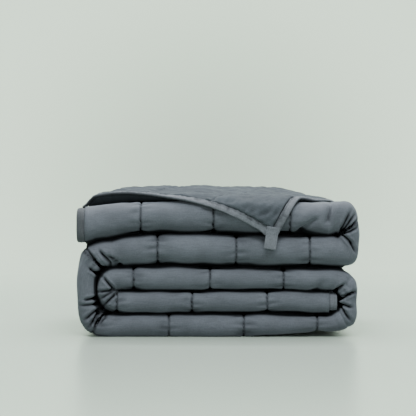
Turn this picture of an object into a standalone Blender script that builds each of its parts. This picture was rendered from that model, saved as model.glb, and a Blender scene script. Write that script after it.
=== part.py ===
"""Weighted blanket: a 1219 x 1829 mm (48 x 72 in) quilted blanket, folded in four across its width
and then rolled over on itself along its length into a stack of five layers.

The strip starts inside the stack at its bound core end, runs back and forth through four folds and
stops at its bound outer end, on top at the left. The top ply's free corner is turned back over the
top, so its reverse side and its binding show, and a tape loop for tying on a cover hangs from it.

+X is along the layers, +Y is away from the front, +Z is up. The blanket stands on z = 0.
"""
import math
from collections import namedtuple

import bmesh
import bpy
import numpy as np

# ------------------------------------------------------------------ driving dimensions, in millimetres
MM = 0.001                  # metres in a millimetre, applied as each mesh is made
CENTRE = (0.55, -1.65, 0.0) # middle of the footprint in the tables below, moved to the origin
DEPTH = 305.0               # the blanket's 1219 mm width, folded in four
FRONT_Y = -148.0            # the plane that the front folds reach
SEAM_SHARE = 0.085          # how far a sewn line is drawn in, over the layer's thickness
SEAM_REACH = 11.0           # how far from a sewn line the cloth is back at full height
ROW_SEAM_DEPTH = 2.2        # the same for the sewn lines along the strip
CROWN = 0.8                 # how much a square swells between its sewn lines
FIRST_ROW_SEAM = 40.0       # first sewn line along the strip, behind the front
QUILT_PITCH = 100.3         # side of a filled quilting square
FRONT_DRAW = 0.8            # share of a sewn line's depth by which it draws in the front and back
FRONT_ROUND = 1.08          # depth of the rounded front over half the layer's thickness
FRONT_FULLNESS = 2.6        # superellipse exponent of the rounded front
BACK_ROUND = 0.60           # depth of each rounded back edge over half the layer's thickness
BACK_NOTCH = 7.0            # depth of the notch between the fold and the hems at the back
# The two rounded back edges: share of the way from the middle to the outside, and distance short of
# the back, from one side of the layer to the other.
BACK_EDGES = ((0.72, 3.0), (0.25, 2.0), (0.0, BACK_NOTCH), (-0.25, 2.0), (-0.72, 3.0))
TOP_SAG = 3.0               # how far a layer's inner side lies below its crest at the front
SAG_REACH = 60.0            # distance behind the crest at which the sag is complete
PLY = 9.0                   # one ply of filled cloth
CLEARANCE = 0.3             # between sewn pieces
BINDING_WIDTH = 10.3        # width of the finished binding
BINDING_THICK = 5.0         # thickness of the bound edge
CORE_BINDING_THICK = 6.4    # the same at the core end, where the plies are pressed together
CORE_BINDING_INSET = 5.6    # its middle line inside the layer's outline
DRAPE_GAP = 2.2             # under the turned-back corner

# ------------------------------------------------------------------ the folded strip
# A row for each cross-section of a flat run, in the order in which the strip passes it:
# x, height of the middle plane, thickness, and how far the front stands behind FRONT_Y.
Section = namedtuple("Section", "x z thick front")
RUNS = {
    "core": (
        Section(149.2, 46.0, 27.6, 2.0),
        Section(43.0, 46.6, 27.0, 1.0),
        Section(-90.0, 46.2, 28.4, 0.5),
        Section(-134.0, 46.2, 27.4, 1.0)),
    "second": (
        Section(-134.0, 77.8, 28.4, 1.0),
        Section(-90.0, 77.8, 30.0, 0.0),
        Section(43.0, 76.8, 28.2, 1.0),
        Section(148.0, 75.6, 26.6, 1.0)),
    "floor": (
        Section(143.0, 18.0, 20.4, 3.0),
        Section(100.0, 16.6, 23.6, 2.0),
        Section(66.0, 15.2, 28.0, 1.5),
        Section(30.0, 14.9, 31.0, 1.0),
        Section(-90.0, 14.7, 31.0, 0.5),
        Section(-150.0, 14.5, 30.4, 1.5)),
    "third": (
        Section(-140.0, 111.2, 35.0, 0.5),
        Section(-116.0, 115.4, 38.0, 0.0),
        Section(-80.0, 116.8, 39.6, -1.0),
        Section(43.0, 115.4, 40.2, -1.0),
        Section(153.0, 114.4, 41.2, 0.0)),
    "top": (
        Section(153.0, 158.2, 41.4, 0.0),
        Section(43.0, 159.2, 41.4, -1.0),
        Section(-80.0, 159.7, 40.4, 0.0),
        Section(-116.0, 158.2, 41.8, 1.0),
        Section(-143.0, 155.2, 43.4, 1.5),
        Section(-177.6, 148.8, 46.8, 2.0)),
}
# A row for each fold: x of the middle plane at its turn, thickness there, squareness, the exponent
# of the superellipse that it follows, and how much fuller its two outer corners are.
Fold = namedtuple("Fold", "turn_x thick squareness first_corner last_corner")
FOLDS = {
    "inner_left": Fold(-149.8, 25.6, 2.0, 0.0, 1.0),
    "lower_right": Fold(175.2, 23.6, 2.5, 3.5, 1.5),
    "outer_left": Fold(-175.8, 22.8, 2.7, 1.0, 4.5),
    "upper_right": Fold(179.2, 20.0, 2.2, 8.0, 6.0),
}
ORDER = ("core", "inner_left", "second", "lower_right", "floor",
         "outer_left", "third", "upper_right", "top")
# Sewn lines across the strip: x on a run, or the share of the way round a fold.
SEAMS = {
    "core": (66.5, -33.9, -135.0),
    "second": (-111.7, -10.2, 88.4),
    "lower_right": (0.37,),
    "floor": (133.0, 35.2, -64.9),
    "outer_left": (0.08, 0.79),
    "third": (-79.8, 24.6, 123.0),
    "upper_right": (0.63,),
    "top": (97.1, -4.9, -102.4),
}

# ------------------------------------------------------------------ the turned-back corner
# Places on the top are given as x and v, the distance behind the crest of the top layer's front.
# Past the crest v is negative and follows the cloth down the front.
CORNER_START = (-183.0, 26.0)       # where the bound end turns over
CORNER_POINT = (74.0, -67.0)        # the hanging corner
CORNER_FAR = (184.0, 276.0)         # where the side edge meets the fold at the back
FOLD_START_V = 46.0                 # the fold's end above the outer end
EDGE_DROOP = 27.0                   # how much of the front edge's fall comes near the corner
EDGE_POWER = 4                      # how late that fall comes
SIDE_BOW = 84.0                     # bow of the side edge to the right
HANG_RADIUS = 28.0                  # radius on which the middle of the corner rounds the crest
EDGE_HEIGHT = 10.2                  # top of the bound front edge above the crest, where it stands off
EDGE_HUG = 2.4                      # how much closer it lies towards the hanging corner
EDGE_DIP = 3.0                      # how much lower it starts at the outer end
RIDGE_HEIGHT = 26.0                 # top of the fold above the crest
RIDGE_END_HEIGHT = 13.0             # the same where it runs out at the back
FLAP_THICK = 7.6                    # thickness of the turned-back ply
ROOT_DEPTH = 3.0                    # how far its fold reaches into the cloth below
LOOP_WIDTH = 16.0
LOOP_LENGTH = 30.0
LOOP_THICK = 2.4
LOOP_TILT = 9.0                     # degrees from upright
LOOP_LAP = 11.0                     # how far it is sewn up over the corner

# ------------------------------------------------------------------ how finely the solids are cut
SEAM_OFFSETS = (-11.0, -3.5, 0.0, 3.5, 11.0)
RUN_STEP = 34.0
FOLD_STEP = 9.0
MIN_STEP = 6.0
CUT_LEAD = 2.5                      # from the turned fold to the nearest points on either side of it
FRONT_STEPS = 8
FLAP_STEPS = 20
FOLD_ANGLES = (50.0, 0.0, -50.0)    # round the turned-back corner's fold, in degrees
STRAND_SHARES = (0.0, 0.035, 0.07, 0.11, 0.15, 0.19, 0.26, 0.45, 0.72, 1.0)

CLOTH_COLOUR = (0.155, 0.185, 0.205, 1.0)
BINDING_COLOUR = (0.215, 0.240, 0.260, 1.0)
CLOTH_ROUGHNESS = 0.85


def clear_scene():
    for obj in list(bpy.data.objects):
        bpy.data.objects.remove(obj, do_unlink=True)


def fabric(name, colour):
    material = bpy.data.materials.new(name)
    material.use_nodes = True
    shader = material.node_tree.nodes["Principled BSDF"]
    shader.inputs["Base Color"].default_value = colour
    shader.inputs["Roughness"].default_value = CLOTH_ROUGHNESS
    shader.inputs["Metallic"].default_value = 0.0
    return material


def in_metres(point):
    """A point of the tables as a place in the scene."""
    return tuple((value - middle) * MM for value, middle in zip(point, CENTRE))


def smoothstep(value):
    value = np.clip(value, 0.0, 1.0)
    return value * value * (3.0 - 2.0 * value)


# ------------------------------------------------------------------ the path of the strip
def hermite(known_x, known_y, wanted):
    """Smooth curve through a few rows, with the mean of the two slopes at each inner row."""
    known_x = np.asarray(known_x, float)
    known_y = np.asarray(known_y, float)
    slope = np.diff(known_y) / np.diff(known_x)
    tangent = np.concatenate(([slope[0]], (slope[1:] + slope[:-1]) / 2.0, [slope[-1]]))
    left = np.clip(np.searchsorted(known_x, wanted, side="right") - 1, 0, len(known_x) - 2)
    width = known_x[left + 1] - known_x[left]
    t = (wanted - known_x[left]) / width
    return ((2 * t**3 - 3 * t**2 + 1) * known_y[left] + (t**3 - 2 * t**2 + t) * width * tangent[left]
            + (-2 * t**3 + 3 * t**2) * known_y[left + 1] + (t**3 - t**2) * width * tangent[left + 1])


def run_samples(rows):
    """x, z, heading, thickness and front setback along one flat run."""
    first, last = rows[0].x, rows[-1].x
    x = np.linspace(first, last, int(abs(last - first)) + 1)
    way = np.array([abs(row.x - first) for row in rows])
    along = abs(x - first)
    z, thick, front = (hermite(way, [getattr(row, field) for row in rows], along)
                       for field in ("z", "thick", "front"))
    heading = np.full(len(x), 0.0 if last > first else math.pi)
    return x, z, heading, thick, front


def fold_samples(before, after, fold):
    """The same round one fold, from the end of one run to the start of the next."""
    turn = np.linspace(0.0, math.pi, 241)
    power = 2.0 / fold.squareness
    half_rise = (after.z - before.z) / 2.0
    start_x = np.where(turn < math.pi / 2.0, before.x, after.x)
    x = start_x + (fold.turn_x - start_x) * np.abs(np.sin(turn)) ** power
    z = before.z + half_rise * (1.0 - np.sign(np.cos(turn)) * np.abs(np.cos(turn)) ** power)
    heading = np.arctan2(np.gradient(z), np.gradient(x))
    blend = (1.0 - np.cos(turn)) / 2.0
    thick = before.thick + (after.thick - before.thick) * blend
    thick = thick + (fold.thick - thick) * np.sin(turn) ** 2
    front = before.front + (after.front - before.front) * blend
    side = 1.0 if np.unwrap(heading)[-1] < heading[0] else -1.0
    corner = np.where(turn < math.pi / 2.0, fold.first_corner, fold.last_corner)
    corner = corner * np.sin(2.0 * turn) ** 2 * np.abs(np.cos(turn))
    x = x - side * np.sin(heading) * corner / 2.0
    z = z + side * np.cos(heading) * corner / 2.0
    return x, z, heading, thick + corner, front


def strip_path():
    """Tables of the strip by distance along it, and the distance of every sewn line."""
    columns = []
    ranges = {}
    count = 0
    for place, name in enumerate(ORDER):
        if name in RUNS:
            part = run_samples(RUNS[name])
        else:
            part = fold_samples(RUNS[ORDER[place - 1]][-1], RUNS[ORDER[place + 1]][0], FOLDS[name])
            part = tuple(column[1:-1] for column in part)
        columns.append(part)
        ranges[name] = (count, count + len(part[0]) - 1)
        count += len(part[0])
    x, z, heading, thick, front = (np.concatenate(column) for column in zip(*columns))
    heading = np.unwrap(heading)
    distance = np.concatenate(([0.0], np.cumsum(np.hypot(np.diff(x), np.diff(z)))))
    seams = []
    for name, places in SEAMS.items():
        first, last = ranges[name]
        for position in places:
            if name in RUNS:
                near = first + int(np.argmin(abs(x[first:last + 1] - position)))
                seams.append(distance[near])
            else:
                seams.append(distance[first] + position * (distance[last] - distance[first]))
    spans = {name: (distance[first], distance[last]) for name, (first, last) in ranges.items()}
    return {"s": distance, "x": x, "z": z, "heading": heading, "thick": thick, "front": front,
            "seams": np.array(sorted(seams)), "spans": spans}


def along(path, field, s):
    return np.interp(s, path["s"], path[field])


# ------------------------------------------------------------------ the top layer's surface
def top_row(x, field):
    rows = sorted(RUNS["top"], key=lambda row: row.x)
    x = np.clip(x, rows[0].x, rows[-1].x)
    return hermite([row.x for row in rows], [getattr(row, field) for row in rows], x)


def crest_height(x):
    return top_row(x, "z") + top_row(x, "thick") / 2.0


def crest_y(x):
    return FRONT_Y + top_row(x, "front") + FRONT_ROUND * top_row(x, "thick") / 2.0


def fold_line_v(x):
    """How far behind the crest the top ply turns back, at each x."""
    share = (x - CORNER_START[0]) / (CORNER_FAR[0] - CORNER_START[0])
    return FOLD_START_V + share * (CORNER_FAR[1] - FOLD_START_V)


def drape(x, v, height):
    """A point at a height over the top layer, v behind its crest or down its front."""
    height = np.asarray(height, float)
    sag = TOP_SAG * smoothstep(v / SAG_REACH)
    turn = np.clip(-v / HANG_RADIUS, 0.0, math.pi / 2.0)
    hang = np.maximum(-v - HANG_RADIUS * math.pi / 2.0, 0.0)
    half = top_row(x, "thick") / 2.0
    y = crest_y(x) + np.maximum(v, 0.0) - (half * FRONT_ROUND + height) * np.sin(turn)
    z = crest_height(x) - half + (half + height) * np.cos(turn) - hang
    return np.stack(np.broadcast_arrays(x, y, z - sag), axis=-1)


# ------------------------------------------------------------------ the quilted body
def dip(offset, reach, depth):
    return depth * (1.0 - np.clip(np.abs(offset) / reach, 0.0, 1.0)) ** 2


def cross_dip(path, s):
    """How far the sewn lines across the strip draw the cloth in, less the swell between them."""
    nearest = np.min(np.abs(path["seams"] - s))
    depth = SEAM_SHARE * along(path, "thick", s)
    return dip(nearest, SEAM_REACH, depth) - CROWN * smoothstep(nearest / (QUILT_PITCH / 2.0))


def row_dip(y_behind):
    offset = (y_behind - FIRST_ROW_SEAM + QUILT_PITCH / 2.0) % QUILT_PITCH - QUILT_PITCH / 2.0
    return dip(offset, SEAM_REACH, ROW_SEAM_DEPTH)


def flat_places(turn_y):
    """Distances behind the front of the points on a layer's flat, with two beside the turned fold."""
    places = [FIRST_ROW_SEAM + QUILT_PITCH * k / 2.0 for k in range(5)]
    return sorted(places + [turn_y - CUT_LEAD, turn_y + PLY + CUT_LEAD])


def section_outline(path, s):
    """Closed outline of the strip at one distance: offsets along the normal, and y."""
    half = along(path, "thick", s) / 2.0
    drawn = cross_dip(path, s)
    x = along(path, "x", s)
    on_top = s > path["spans"]["top"][0] + MIN_STEP
    front = FRONT_Y + along(path, "front", s) + FRONT_DRAW * drawn
    full = half - drawn
    round_y = FRONT_ROUND * half
    back = DEPTH - BACK_ROUND * half
    middle_row = FIRST_ROW_SEAM + QUILT_PITCH
    turn_y = min(round_y + fold_line_v(x), back - 2.0 * PLY) if on_top else middle_row
    lowered = PLY if on_top else 0.0
    points = []
    power = 2.0 / FRONT_FULLNESS
    for step in range(FRONT_STEPS + 1):
        angle = math.pi * (step / FRONT_STEPS - 0.5)
        offset = math.copysign(abs(math.sin(angle)) ** power, math.sin(angle))
        points.append((full * offset, front + round_y * (1.0 - abs(math.cos(angle)) ** power)))
    for behind in flat_places(middle_row):
        points.append((full - row_dip(behind), FRONT_Y + behind))
    middle = lowered / 2.0
    reach = full - middle
    rounded = [(1.0, DEPTH - back)] + list(BACK_EDGES) + [(-1.0, DEPTH - back)]
    for share, short in rounded:
        points.append((middle + share * reach, FRONT_Y + DEPTH - short - FRONT_DRAW * drawn))
    for behind in reversed(flat_places(turn_y)):
        sag = TOP_SAG * smoothstep((behind - round_y) / SAG_REACH)
        cut = lowered * smoothstep((behind - turn_y) / PLY)
        points.append((-full + row_dip(behind) + sag + cut, FRONT_Y + behind))
    return points


def body_stations(path):
    """Distances at which the strip is cut: close together at sewn lines and folds."""
    wanted = [seam + offset for seam in path["seams"] for offset in SEAM_OFFSETS]
    for name, (first, last) in path["spans"].items():
        step = RUN_STEP if name in RUNS else FOLD_STEP
        for place in np.linspace(first, last, max(2, round((last - first) / step) + 1)):
            if min(abs(place - other) for other in wanted) > MIN_STEP:
                wanted.append(place)
    ends = (path["s"][0], path["s"][-1])
    inside = [place for place in wanted if ends[0] + 2.0 < place < ends[1] - 2.0]
    return [ends[0]] + sorted(inside) + [ends[1]]


def cap(mesh, ring, nose):
    """Close an end of the loft with a band of faces from one point of its ring to the opposite one."""
    turned = ring[nose:] + ring[:nose]
    half = len(turned) // 2
    mesh.faces.new((turned[0], turned[1], turned[-1]))
    for k in range(1, half - 1):
        mesh.faces.new((turned[k], turned[k + 1], turned[-k - 1], turned[-k]))
    mesh.faces.new((turned[half - 1], turned[half], turned[half + 1]))


def loft(name, rings, material, floor=False, nose=0):
    """Closed mesh from rings of equal, even length, capped at both ends."""
    mesh = bmesh.new()
    rows = []
    for ring in rings:
        rows.append([mesh.verts.new(in_metres((x, y, max(z, 0.0) if floor else z)))
                     for x, y, z in ring])
    for near, far in zip(rows, rows[1:]):
        for k in range(len(near)):
            following = (k + 1) % len(near)
            mesh.faces.new((near[k], near[following], far[following], far[k]))
    cap(mesh, rows[0], nose)
    cap(mesh, rows[-1], nose)
    bmesh.ops.triangulate(mesh, faces=mesh.faces[:])
    bmesh.ops.recalc_face_normals(mesh, faces=mesh.faces[:])
    if mesh.calc_volume(signed=True) < 0.0:
        bmesh.ops.reverse_faces(mesh, faces=mesh.faces[:])
    data = bpy.data.meshes.new(name)
    mesh.to_mesh(data)
    mesh.free()
    data.materials.append(material)
    data.shade_smooth()
    obj = bpy.data.objects.new(name, data)
    bpy.context.scene.collection.objects.link(obj)
    return obj


def body_rings(path):
    rings = []
    for s in body_stations(path):
        heading = along(path, "heading", s)
        centre = np.array([along(path, "x", s), along(path, "z", s)])
        normal = np.array([-math.sin(heading), math.cos(heading)])
        ring = []
        for offset, y in section_outline(path, s):
            x, z = centre + normal * offset
            ring.append((x, y, z))
        rings.append(ring)
    return rings


def make_body(path, cloth):
    return loft("quilt_body", body_rings(path), cloth, floor=True, nose=FRONT_STEPS // 2)


# ------------------------------------------------------------------ the turned-back corner
def front_edge(a):
    """x and v along the corner's bound front edge, from the outer end (a = 0) to its point (1)."""
    x = CORNER_START[0] + a * (CORNER_POINT[0] - CORNER_START[0])
    fall = CORNER_START[1] - CORNER_POINT[1]
    v = CORNER_START[1] - (fall - EDGE_DROOP) * a - EDGE_DROOP * a ** EDGE_POWER
    return np.array([x, v])


def corner_place(a, b):
    """x and v on the turned-back ply: a along its front edge, b from that edge to the fold."""
    share = (1.0 - b) * front_edge(a)
    fold = np.array([CORNER_START[0] + a * (CORNER_FAR[0] - CORNER_START[0]),
                     FOLD_START_V + a * (CORNER_FAR[1] - FOLD_START_V)])
    return share + b * fold + np.array([SIDE_BOW * a * b * (1.0 - b), 0.0])


def inward(a, b, step=0.01):
    """Unit direction from the front edge into the ply, and from the side edge into it."""
    along_edge = front_edge(min(a + step, 1.0)) - front_edge(max(a - step, 0.0))
    along_side = corner_place(1.0, min(b + step, 1.0)) - corner_place(1.0, max(b - step, 0.0))
    from_front = np.array([-along_edge[1], along_edge[0]])
    from_side = np.array([-along_side[1], along_side[0]])
    return from_front / np.linalg.norm(from_front), from_side / np.linalg.norm(from_side)


def edge_height(a):
    """Top of the bound front edge over the cloth below: it stands off more at the left."""
    hug = EDGE_HUG * smoothstep((a - 0.35) / 0.4)
    return EDGE_HEIGHT - hug - EDGE_DIP * (1.0 - smoothstep(a / 0.12))


def ridge_height(a):
    """Top of the fold: it rises from the outer end and runs out towards the back."""
    rise = smoothstep((a + 0.06) / 0.26) * (1.0 - smoothstep((a - 0.7) / 0.3))
    return RIDGE_END_HEIGHT + (RIDGE_HEIGHT - RIDGE_END_HEIGHT) * rise


def corner_top(a, b):
    """Height of the turned-back ply's upper side over the top layer."""
    near = edge_height(a)
    return near + (ridge_height(a) - near) * smoothstep(b) ** 0.8


def corner_section(a):
    """Closed outline across the turned-back ply, from its front edge over the fold and back below."""
    inset = BINDING_WIDTH / 2.0 + CLEARANCE
    start = corner_place(a, 0.0) + inset * inward(a, 0.0)[0]
    end = corner_place(a, 1.0)
    length = np.linalg.norm(end - start)
    back = (end - start) / length
    shares = STRAND_SHARES
    places = [start + share * (end - start) + np.array([SIDE_BOW * a * share * (1.0 - share), 0.0])
              for share in shares]
    ring = [drape(*place, corner_top(a, share)) for place, share in zip(places, shares)]
    top = corner_top(a, 1.0)
    radius = (top + PLY) / 2.0
    level = top - radius
    for angle in FOLD_ANGLES:
        turn = math.radians(angle)
        place = end + back * radius * math.cos(turn)
        ring.append(drape(*place, level + radius * math.sin(turn)))
    grip = min(0.5 * length, PLY)
    ring.append(drape(*end, -PLY - ROOT_DEPTH))
    ring.append(drape(*(end - back * grip), -PLY - ROOT_DEPTH))
    for share in reversed(shares[:-1]):
        thick = BINDING_THICK + (FLAP_THICK - BINDING_THICK) * share ** 0.3
        under = min(corner_top(a, share) - thick, DRAPE_GAP + PLY * share)
        place = start + min(share, 1.0 - (grip + DRAPE_GAP) / length) * (end - start)
        place = place + np.array([SIDE_BOW * a * share * (1.0 - share), 0.0])
        ring.append(drape(*place, max(under, DRAPE_GAP)))
    return ring


def flap_shares():
    side = 1.0 - (BINDING_WIDTH / 2.0 + CLEARANCE) / (CORNER_POINT[0] - CORNER_START[0])
    return [side * (0.02 + 0.98 * k / FLAP_STEPS) for k in range(FLAP_STEPS + 1)]


def make_flap(cloth):
    return loft("corner_cloth", [corner_section(a) for a in flap_shares()], cloth)


# A bound edge cut across: shares of its width and of its thickness from its middle.
TAPE_OUTLINE = ((-0.5, -0.22), (-0.5, 0.22), (-0.38, 0.5), (0.38, 0.5),
                (0.5, 0.22), (0.5, -0.22), (0.38, -0.5), (-0.38, -0.5))


def strip_rings(places, sideways, heights, width, thick):
    """Rings of a flat strip with softened edges that follows places on the top layer."""
    rings = []
    for place, side, top in zip(places, sideways, heights):
        rings.append([drape(*(place + across * width * side), top + (up - 0.5) * thick)
                      for across, up in TAPE_OUTLINE])
    return rings


def make_front_binding(trim):
    shares = [0.0] + flap_shares()
    return loft("binding_corner_front", strip_rings(
        [corner_place(a, 0.0) for a in shares], [inward(a, 0.0)[0] for a in shares],
        [edge_height(a) for a in shares], BINDING_WIDTH, BINDING_THICK), trim)


def make_side_binding(trim):
    shares = (0.0,) + STRAND_SHARES
    places = [corner_place(1.0, b) for b in shares]
    first_step = places[2] - places[1]
    places[0] = places[0] - first_step * (BINDING_WIDTH / 2.0) / np.linalg.norm(first_step)
    return loft("binding_corner_side", strip_rings(
        places, [inward(1.0, b)[1] for b in shares], [corner_top(1.0, b) for b in shares],
        BINDING_WIDTH, BINDING_THICK), trim)


def join(body, flap):
    """The turned-back corner is the same cloth as the body: one solid."""
    union = body.modifiers.new("join_corner", "BOOLEAN")
    union.operation = "UNION"
    union.solver = "EXACT"
    union.object = flap
    flap.hide_render = True
    flap.display_type = "WIRE"


# ------------------------------------------------------------------ bindings of the strip's two ends
def end_outline(section, inset):
    """The y and z points of a nested ply's middle line at an end of the strip, bottom to top."""
    half = section.thick / 2.0 - inset
    front = FRONT_Y + section.front + inset
    round_y = FRONT_ROUND * section.thick / 2.0 - inset
    points = []
    for step in range(FRONT_STEPS + 1):
        angle = math.pi * (step / FRONT_STEPS - 0.5)
        points.append((front + round_y * (1.0 - math.cos(angle)), section.z + half * math.sin(angle)))
    return points


def end_binding(name, section, x_inner, x_outer, inset, thick, lower_y, upper_y, trim):
    """A bound ply end: a strip round the front with a lower and an upper arm towards the back."""
    points = end_outline(section, inset)
    lower = [(y, points[0][1]) for y in np.linspace(lower_y, points[0][0], 4)[:-1]]
    upper = [(y, points[-1][1]) for y in np.linspace(points[-1][0], upper_y, 4)[1:]]
    middle = np.array(lower + points + upper)
    tangent = np.gradient(middle, axis=0)
    tangent /= np.linalg.norm(tangent, axis=1)[:, None]
    outward = np.stack([-tangent[:, 1], tangent[:, 0]], axis=1)
    shoulder = x_inner + 0.6 * (x_outer - x_inner)
    outline = ((x_inner, -0.5), (x_inner, 0.5), (shoulder, 0.5),
               (x_outer, 0.2), (x_outer, -0.2), (shoulder, -0.5))
    rings = []
    for (y, z), (out_y, out_z) in zip(middle, outward):
        rings.append([(x, y + out_y * level * thick, z + out_z * level * thick)
                      for x, level in outline])
    return loft(name, rings, trim)


def make_end_bindings(trim):
    outer = RUNS["top"][-1]
    core = RUNS["core"][0]
    back = FRONT_Y + DEPTH - BACK_NOTCH
    x_inner = outer.x - CLEARANCE
    x_outer = x_inner - BINDING_WIDTH
    turn_y = float(crest_y(outer.x)) + CORNER_START[1]
    end_binding("binding_outer_end", outer, x_inner, x_outer, PLY / 2.0, PLY,
                back, turn_y, trim)
    end_binding("binding_inner_ply", outer, x_inner, x_outer, PLY * 1.5 + CLEARANCE, PLY,
                back, back, trim)
    end_binding("binding_core_end", core, core.x + CLEARANCE, core.x + CLEARANCE + BINDING_WIDTH,
                CORE_BINDING_INSET, CORE_BINDING_THICK, back, back, trim)


def make_loop(trim):
    """Tape loop pressed flat, hanging from the turned-back corner's point."""
    top = drape(CORNER_POINT[0] - 0.5, CORNER_POINT[1] + LOOP_LAP, edge_height(1.0))
    tilt = math.radians(LOOP_TILT)
    bpy.ops.mesh.primitive_cube_add(size=1.0)
    loop = bpy.context.active_object
    loop.name = "corner_loop"
    loop.scale = (LOOP_WIDTH * MM, LOOP_THICK * MM, LOOP_LENGTH * MM)
    bpy.ops.object.transform_apply(location=False, rotation=False, scale=True)
    down = LOOP_LENGTH / 2.0
    loop.rotation_euler = (0.0, tilt, 0.0)
    loop.location = in_metres((top[0] - math.sin(tilt) * down, top[1] - LOOP_THICK / 2.0 - CLEARANCE,
                               top[2] - math.cos(tilt) * down))
    bevel = loop.modifiers.new("soft_edges", "BEVEL")
    bevel.width = 0.4 * LOOP_THICK * MM
    bevel.segments = 2
    loop.data.materials.append(trim)
    return loop


def main():
    clear_scene()
    cloth = fabric("quilted_cloth", CLOTH_COLOUR)
    trim = fabric("binding_tape", BINDING_COLOUR)
    path = strip_path()
    body = make_body(path, cloth)
    join(body, make_flap(cloth))
    make_front_binding(trim)
    make_side_binding(trim)
    make_end_bindings(trim)
    make_loop(trim)


main()
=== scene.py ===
"""Looks of the folded weighted blanket: fine shapes of the quilted cloth and its bindings, their
stitching and materials, and a plain studio.

+X is along the layers, +Y is away from the front, +Z is up. Shapes are in millimetres, and
in_metres turns them into the part's metres. The studio is in metres throughout.
"""

import math
from collections import namedtuple

import bmesh
import bpy
import numpy as np
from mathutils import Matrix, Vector, noise


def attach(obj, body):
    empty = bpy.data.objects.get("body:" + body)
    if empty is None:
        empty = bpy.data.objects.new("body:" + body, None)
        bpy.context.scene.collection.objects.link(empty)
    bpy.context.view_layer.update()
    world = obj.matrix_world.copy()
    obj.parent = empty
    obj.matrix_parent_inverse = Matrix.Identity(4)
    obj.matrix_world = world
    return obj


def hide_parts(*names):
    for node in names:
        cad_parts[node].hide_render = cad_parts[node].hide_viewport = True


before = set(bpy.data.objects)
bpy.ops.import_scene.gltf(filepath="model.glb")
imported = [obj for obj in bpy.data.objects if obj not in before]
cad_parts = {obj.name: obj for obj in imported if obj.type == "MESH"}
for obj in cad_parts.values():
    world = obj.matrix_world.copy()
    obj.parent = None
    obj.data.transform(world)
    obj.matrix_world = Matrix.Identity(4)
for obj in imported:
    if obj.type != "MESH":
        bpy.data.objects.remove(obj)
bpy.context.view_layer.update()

# ---- driving dimensions, in millimetres
MM = 0.001  # metres in a millimetre
CENTRE = (0.55, -1.65, 0.0)  # middle of the footprint in the tables below, moved to the origin
DEPTH = 305.0  # the blanket's width, folded in four
FRONT_Y = -148.0  # the plane that the front folds reach
SEAM_SHARE = 0.035  # how far a sewn line is drawn in, over the layer's thickness
SEAM_REACH = 10.0  # how far from a sewn line the cloth is back at full height
STITCH_CUT, STITCH_REACH = 1.7, 2.2  # depth and half width of the stitches' furrow
FOLD_SEAM_LOSS = 0.75  # share of both depths which the stretched cloth loses round a fold
ROW_SEAM_DEPTH = 2.2  # depth of the sewn lines along the strip
ROW_STITCH_SHARE = 0.6  # their furrow over that of the lines across
CROWN = 0.8  # how much a square swells between its sewn lines
FIRST_ROW_SEAM, ROW_SEAMS = 40.0, 3  # sewn lines along the strip: how far back the first is
QUILT_PITCH = 100.3
FRONT_DRAW = 0.8  # share of a sewn line's depth by which it draws in the front and back
FRONT_ROUND = 1.08  # depth of the rounded front over half the layer's thickness
FRONT_FULLNESS = 2.1  # superellipse exponent of the rounded front
END_FULLNESS = 3.2  # the same for the bindings of the strip's ends
BACK_ROUND = 0.60  # depth of each rounded back edge over half the layer's thickness
BACK_NOTCH = 7.0  # depth of the notch between the fold and the hems at the back
# Each rounded back edge: share of the half thickness, and distance short of the back.
BACK_EDGES = ((0.93, 0.35), (0.82, 1.6), (0.66, 3.0), (0.48, 3.4),
              (0.30, 2.6), (0.14, 4.4), (0.05, 6.2))
TOP_SAG, SAG_REACH = 3.0, 60.0  # how far the top sinks behind its crest, and over what distance
PLY = 9.0  # one ply of filled cloth
CLEARANCE = 0.3  # between sewn pieces
BINDING_WIDTH = 10.3
BINDING_THICK = 5.0  # of the solids' bound edge
CORNER_BINDING_THICK = 4.2  # of the binding round the turned-back corner
TOP_SEAM_SHARE = 0.34  # its top-stitching: distance from the middle over the width
CORE_BINDING_THICK = 6.4  # at the core end, where the plies are pressed together
CORE_BINDING_INSET = 5.6  # its middle line inside the layer's outline
DRAPE_GAP = 2.2  # under the turned-back corner

# Flat runs of the strip by places on them: middle x and z, thickness, and setback of the front.
Section = namedtuple("Section", "x z thick front")
RUNS = {name: tuple(Section(*row) for row in rows) for name, rows in {
    "core": (
        (149.2, 46.0, 27.6, 2.0), (43.0, 46.6, 27.0, 1.0),
        (-90.0, 46.2, 28.4, 0.5), (-134.0, 46.2, 27.4, 1.0)),
    "second": (
        (-134.0, 77.8, 28.4, 1.0), (-90.0, 77.8, 30.0, 0.0),
        (43.0, 76.8, 28.2, 1.0), (148.0, 75.6, 26.6, 1.0)),
    "floor": (
        (143.0, 18.0, 20.4, 3.0), (100.0, 16.6, 23.6, 2.0),
        (66.0, 15.2, 28.0, 1.5), (30.0, 14.9, 31.0, 1.0),
        (-90.0, 14.7, 31.0, 0.5), (-150.0, 14.5, 30.4, 1.5)),
    "third": (
        (-140.0, 111.2, 35.0, 0.5), (-116.0, 115.4, 38.0, 0.0),
        (-80.0, 116.8, 39.6, -1.0), (43.0, 115.4, 40.2, -1.0),
        (153.0, 114.4, 41.2, 0.0)),
    "top": (
        (153.0, 158.2, 41.4, 0.0), (43.0, 159.2, 41.4, -1.0),
        (-80.0, 159.7, 40.4, 0.0), (-116.0, 158.2, 41.8, 1.0),
        (-143.0, 155.2, 43.4, 1.5), (-177.6, 148.8, 46.8, 2.0)),
}.items()}
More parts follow.
